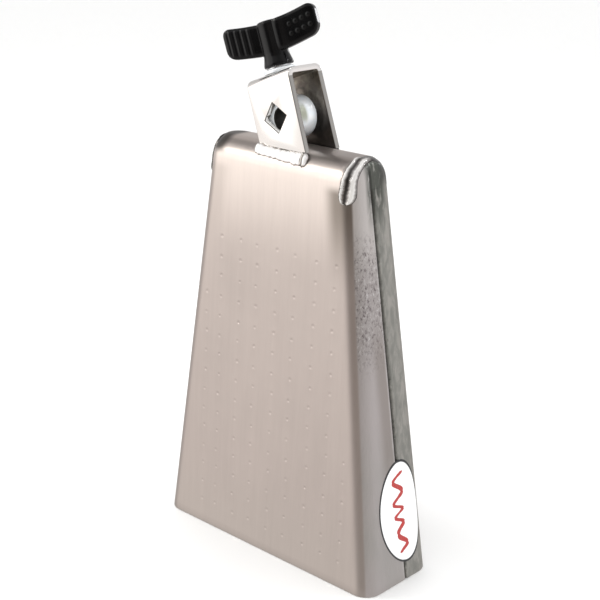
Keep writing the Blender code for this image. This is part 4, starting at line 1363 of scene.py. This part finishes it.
# ------------------------------------------------------------------ floor and lights (metres)
def build_floor():
    half = 6.0
    mesh = bpy.data.meshes.new("floor")
    corners = [(-half, -half, 0), (half, -half, 0), (half, half, 0), (-half, half, 0)]
    mesh.from_pydata(corners, [], [(0, 1, 2, 3)])
    floor = bpy.data.objects.new("floor", mesh)
    bpy.context.scene.collection.objects.link(floor)
    floor.location.z = -0.0002           # just clear of the rim
    pale = bpy.data.materials.new("floor_pale")
    pale.use_nodes = True
    inputs = pale.node_tree.nodes["Principled BSDF"].inputs
    inputs["Base Color"].default_value = (0.93, 0.93, 0.925, 1.0)
    inputs["Roughness"].default_value = 0.7
    mesh.materials.append(pale)
    floor.visible_glossy = False


def area_light(name, direction, distance, size, energy, color):
    """Rectangular light aimed at the middle of the bell; size is (width, height)."""
    light = bpy.data.lights.new(name, "AREA")
    light.energy = energy
    light.color = color
    light.shape = "RECTANGLE"
    light.size, light.size_y = size
    obj = bpy.data.objects.new(name, light)
    bpy.context.scene.collection.objects.link(obj)
    aim = Vector((0, 0, 0.12))
    location = aim + Vector(direction) * distance
    obj.location = location
    obj.rotation_euler = (aim - location).to_track_quat("-Z", "Y").to_euler()
    obj.visible_glossy = False


build_floor()
area_light("key", direction=(-0.646, -0.435, 0.66), distance=1.1, size=(0.55, 0.45),
           energy=5.0, color=(1.0, 0.985, 0.96))
area_light("front", direction=(0.645, -0.694, 0.36), distance=1.25, size=(0.35, 0.35),
           energy=2.8, color=(1.0, 0.99, 0.98))
area_light("fill", direction=(0.9, 0.8, 0.5), distance=1.0, size=(0.5, 0.5),
           energy=2.0, color=(0.97, 0.985, 1.0))

# ------------------------------------------------------------------ world
# What polished metal reflects: azimuth, elevation, inner and outer radius of a soft disc
# (degrees), its colour and its opacity
REFLECTIONS = (
    (229, -14, 20, 40, (1.06, 1.02, 0.99), 0.95),      # bounce from the table, front left
    (226, 16, 20, 35, (1.75, 1.72, 1.67), 1.0),        # large softbox, front left
    (292, 10, 14, 38, (0.40, 0.352, 0.318), 0.97),     # dim room in front
    (274, 12, 9, 19, (0.06, 0.055, 0.05), 0.85),       # its darkest corner
    (320, 26, 12, 38, (0.27, 0.255, 0.24), 0.80),      # camera side
    (150, 42, 14, 44, (0.46, 0.44, 0.43), 0.85),       # wall behind, left
    (44, -8, 14, 38, (0.70, 0.69, 0.695), 0.90),       # reflector, back right
    (46, 4, 6, 20, (1.02, 1.00, 1.00), 0.60),          # and its brighter top
    (226, 34, 2.6, 4.6, (24.0, 23.5, 22.5), 1.0),      # bare lamp above the softbox
    (43, 38, 2.0, 3.6, (24.0, 24.0, 25.0), 1.0),       # small lamp, back right
    (98, 6, 3.0, 4.4, (7.0, 7.0, 7.2), 1.0),           # strip light behind
)


def sky_disc(sky, azimuth, elevation, inner, outer):
    """1 within inner degrees of a direction, 0 beyond outer degrees."""
    turn, rise = math.radians(azimuth), math.radians(elevation)
    direction = (math.cos(turn) * math.cos(rise), math.sin(turn) * math.cos(rise),
                 math.sin(rise))
    view = sky.node("VectorMath", {0: sky.coord}, operation="NORMALIZE")
    closeness = sky.node("VectorMath", {0: view, 1: direction}, output="Value",
                         operation="DOT_PRODUCT")
    return closeness.rise(low=math.cos(math.radians(outer)), high=math.cos(math.radians(inner)))


def build_world():
    """Even white light, with the painted reflections seen by glossy rays only."""
    world = bpy.data.worlds.new("studio")
    bpy.context.scene.world = world
    world.use_nodes = True
    world.node_tree.nodes.clear()
    sky = Graph(world.node_tree, "Generated")
    below, above = (0.62, 0.60, 0.585), (0.74, 0.74, 0.75)
    paint = sky.mix(sky.xyz(sky.coord)[2].rise(low=-0.50, high=0.60), below, above)
    for *disc, color, opacity in REFLECTIONS:
        paint = paint.paint(sky_disc(sky, *disc), color=color, opacity=opacity)
    soft = sky.node("Background", {"Color": (1.0, 1.0, 1.0, 1.0), "Strength": 1.09})
    shine = sky.node("Background", {"Color": paint})
    glossy = sky.node("LightPath", output="Is Glossy Ray")
    output = sky.tree.nodes.new("ShaderNodeOutputWorld")
    sky.put(output, "Surface", sky.node("MixShader", {0: glossy, 1: soft, 2: shine}))


build_world()


# ------------------------------------------------------------------ camera
def build_camera():
    """Long lens to the front right of the bell, looking slightly down."""
    azimuth, elevation, roll = (math.radians(angle) for angle in (42.905, 18.635, 0.647))
    distance = 637.2576 * SCALE * MM
    shift_right, shift_up = 2.418745 * SCALE * MM, 23.65762 * SCALE * MM
    back = Vector((math.sin(azimuth) * math.cos(elevation),
                   -math.cos(azimuth) * math.cos(elevation), math.sin(elevation)))
    level = Vector((math.cos(azimuth), math.sin(azimuth), 0))
    upright = back.cross(level)
    right = level * math.cos(roll) + upright * math.sin(roll)
    up = upright * math.cos(roll) - level * math.sin(roll)
    target = Vector((0, 0, HEIGHT * MM / 2)) + right * shift_right + up * shift_up
    data = bpy.data.cameras.new("camera")
    data.lens = 78.09
    data.sensor_width = 36
    data.clip_start = 0.01
    data.clip_end = 50
    camera = bpy.data.objects.new("camera", data)
    bpy.context.scene.collection.objects.link(camera)
    rotation = Matrix((right, up, back)).transposed().to_4x4()
    camera.matrix_world = Matrix.Translation(target + back * distance) @ rotation
    bpy.context.scene.camera = camera


build_camera()
bpy.context.scene.view_settings.view_transform = "Standard"
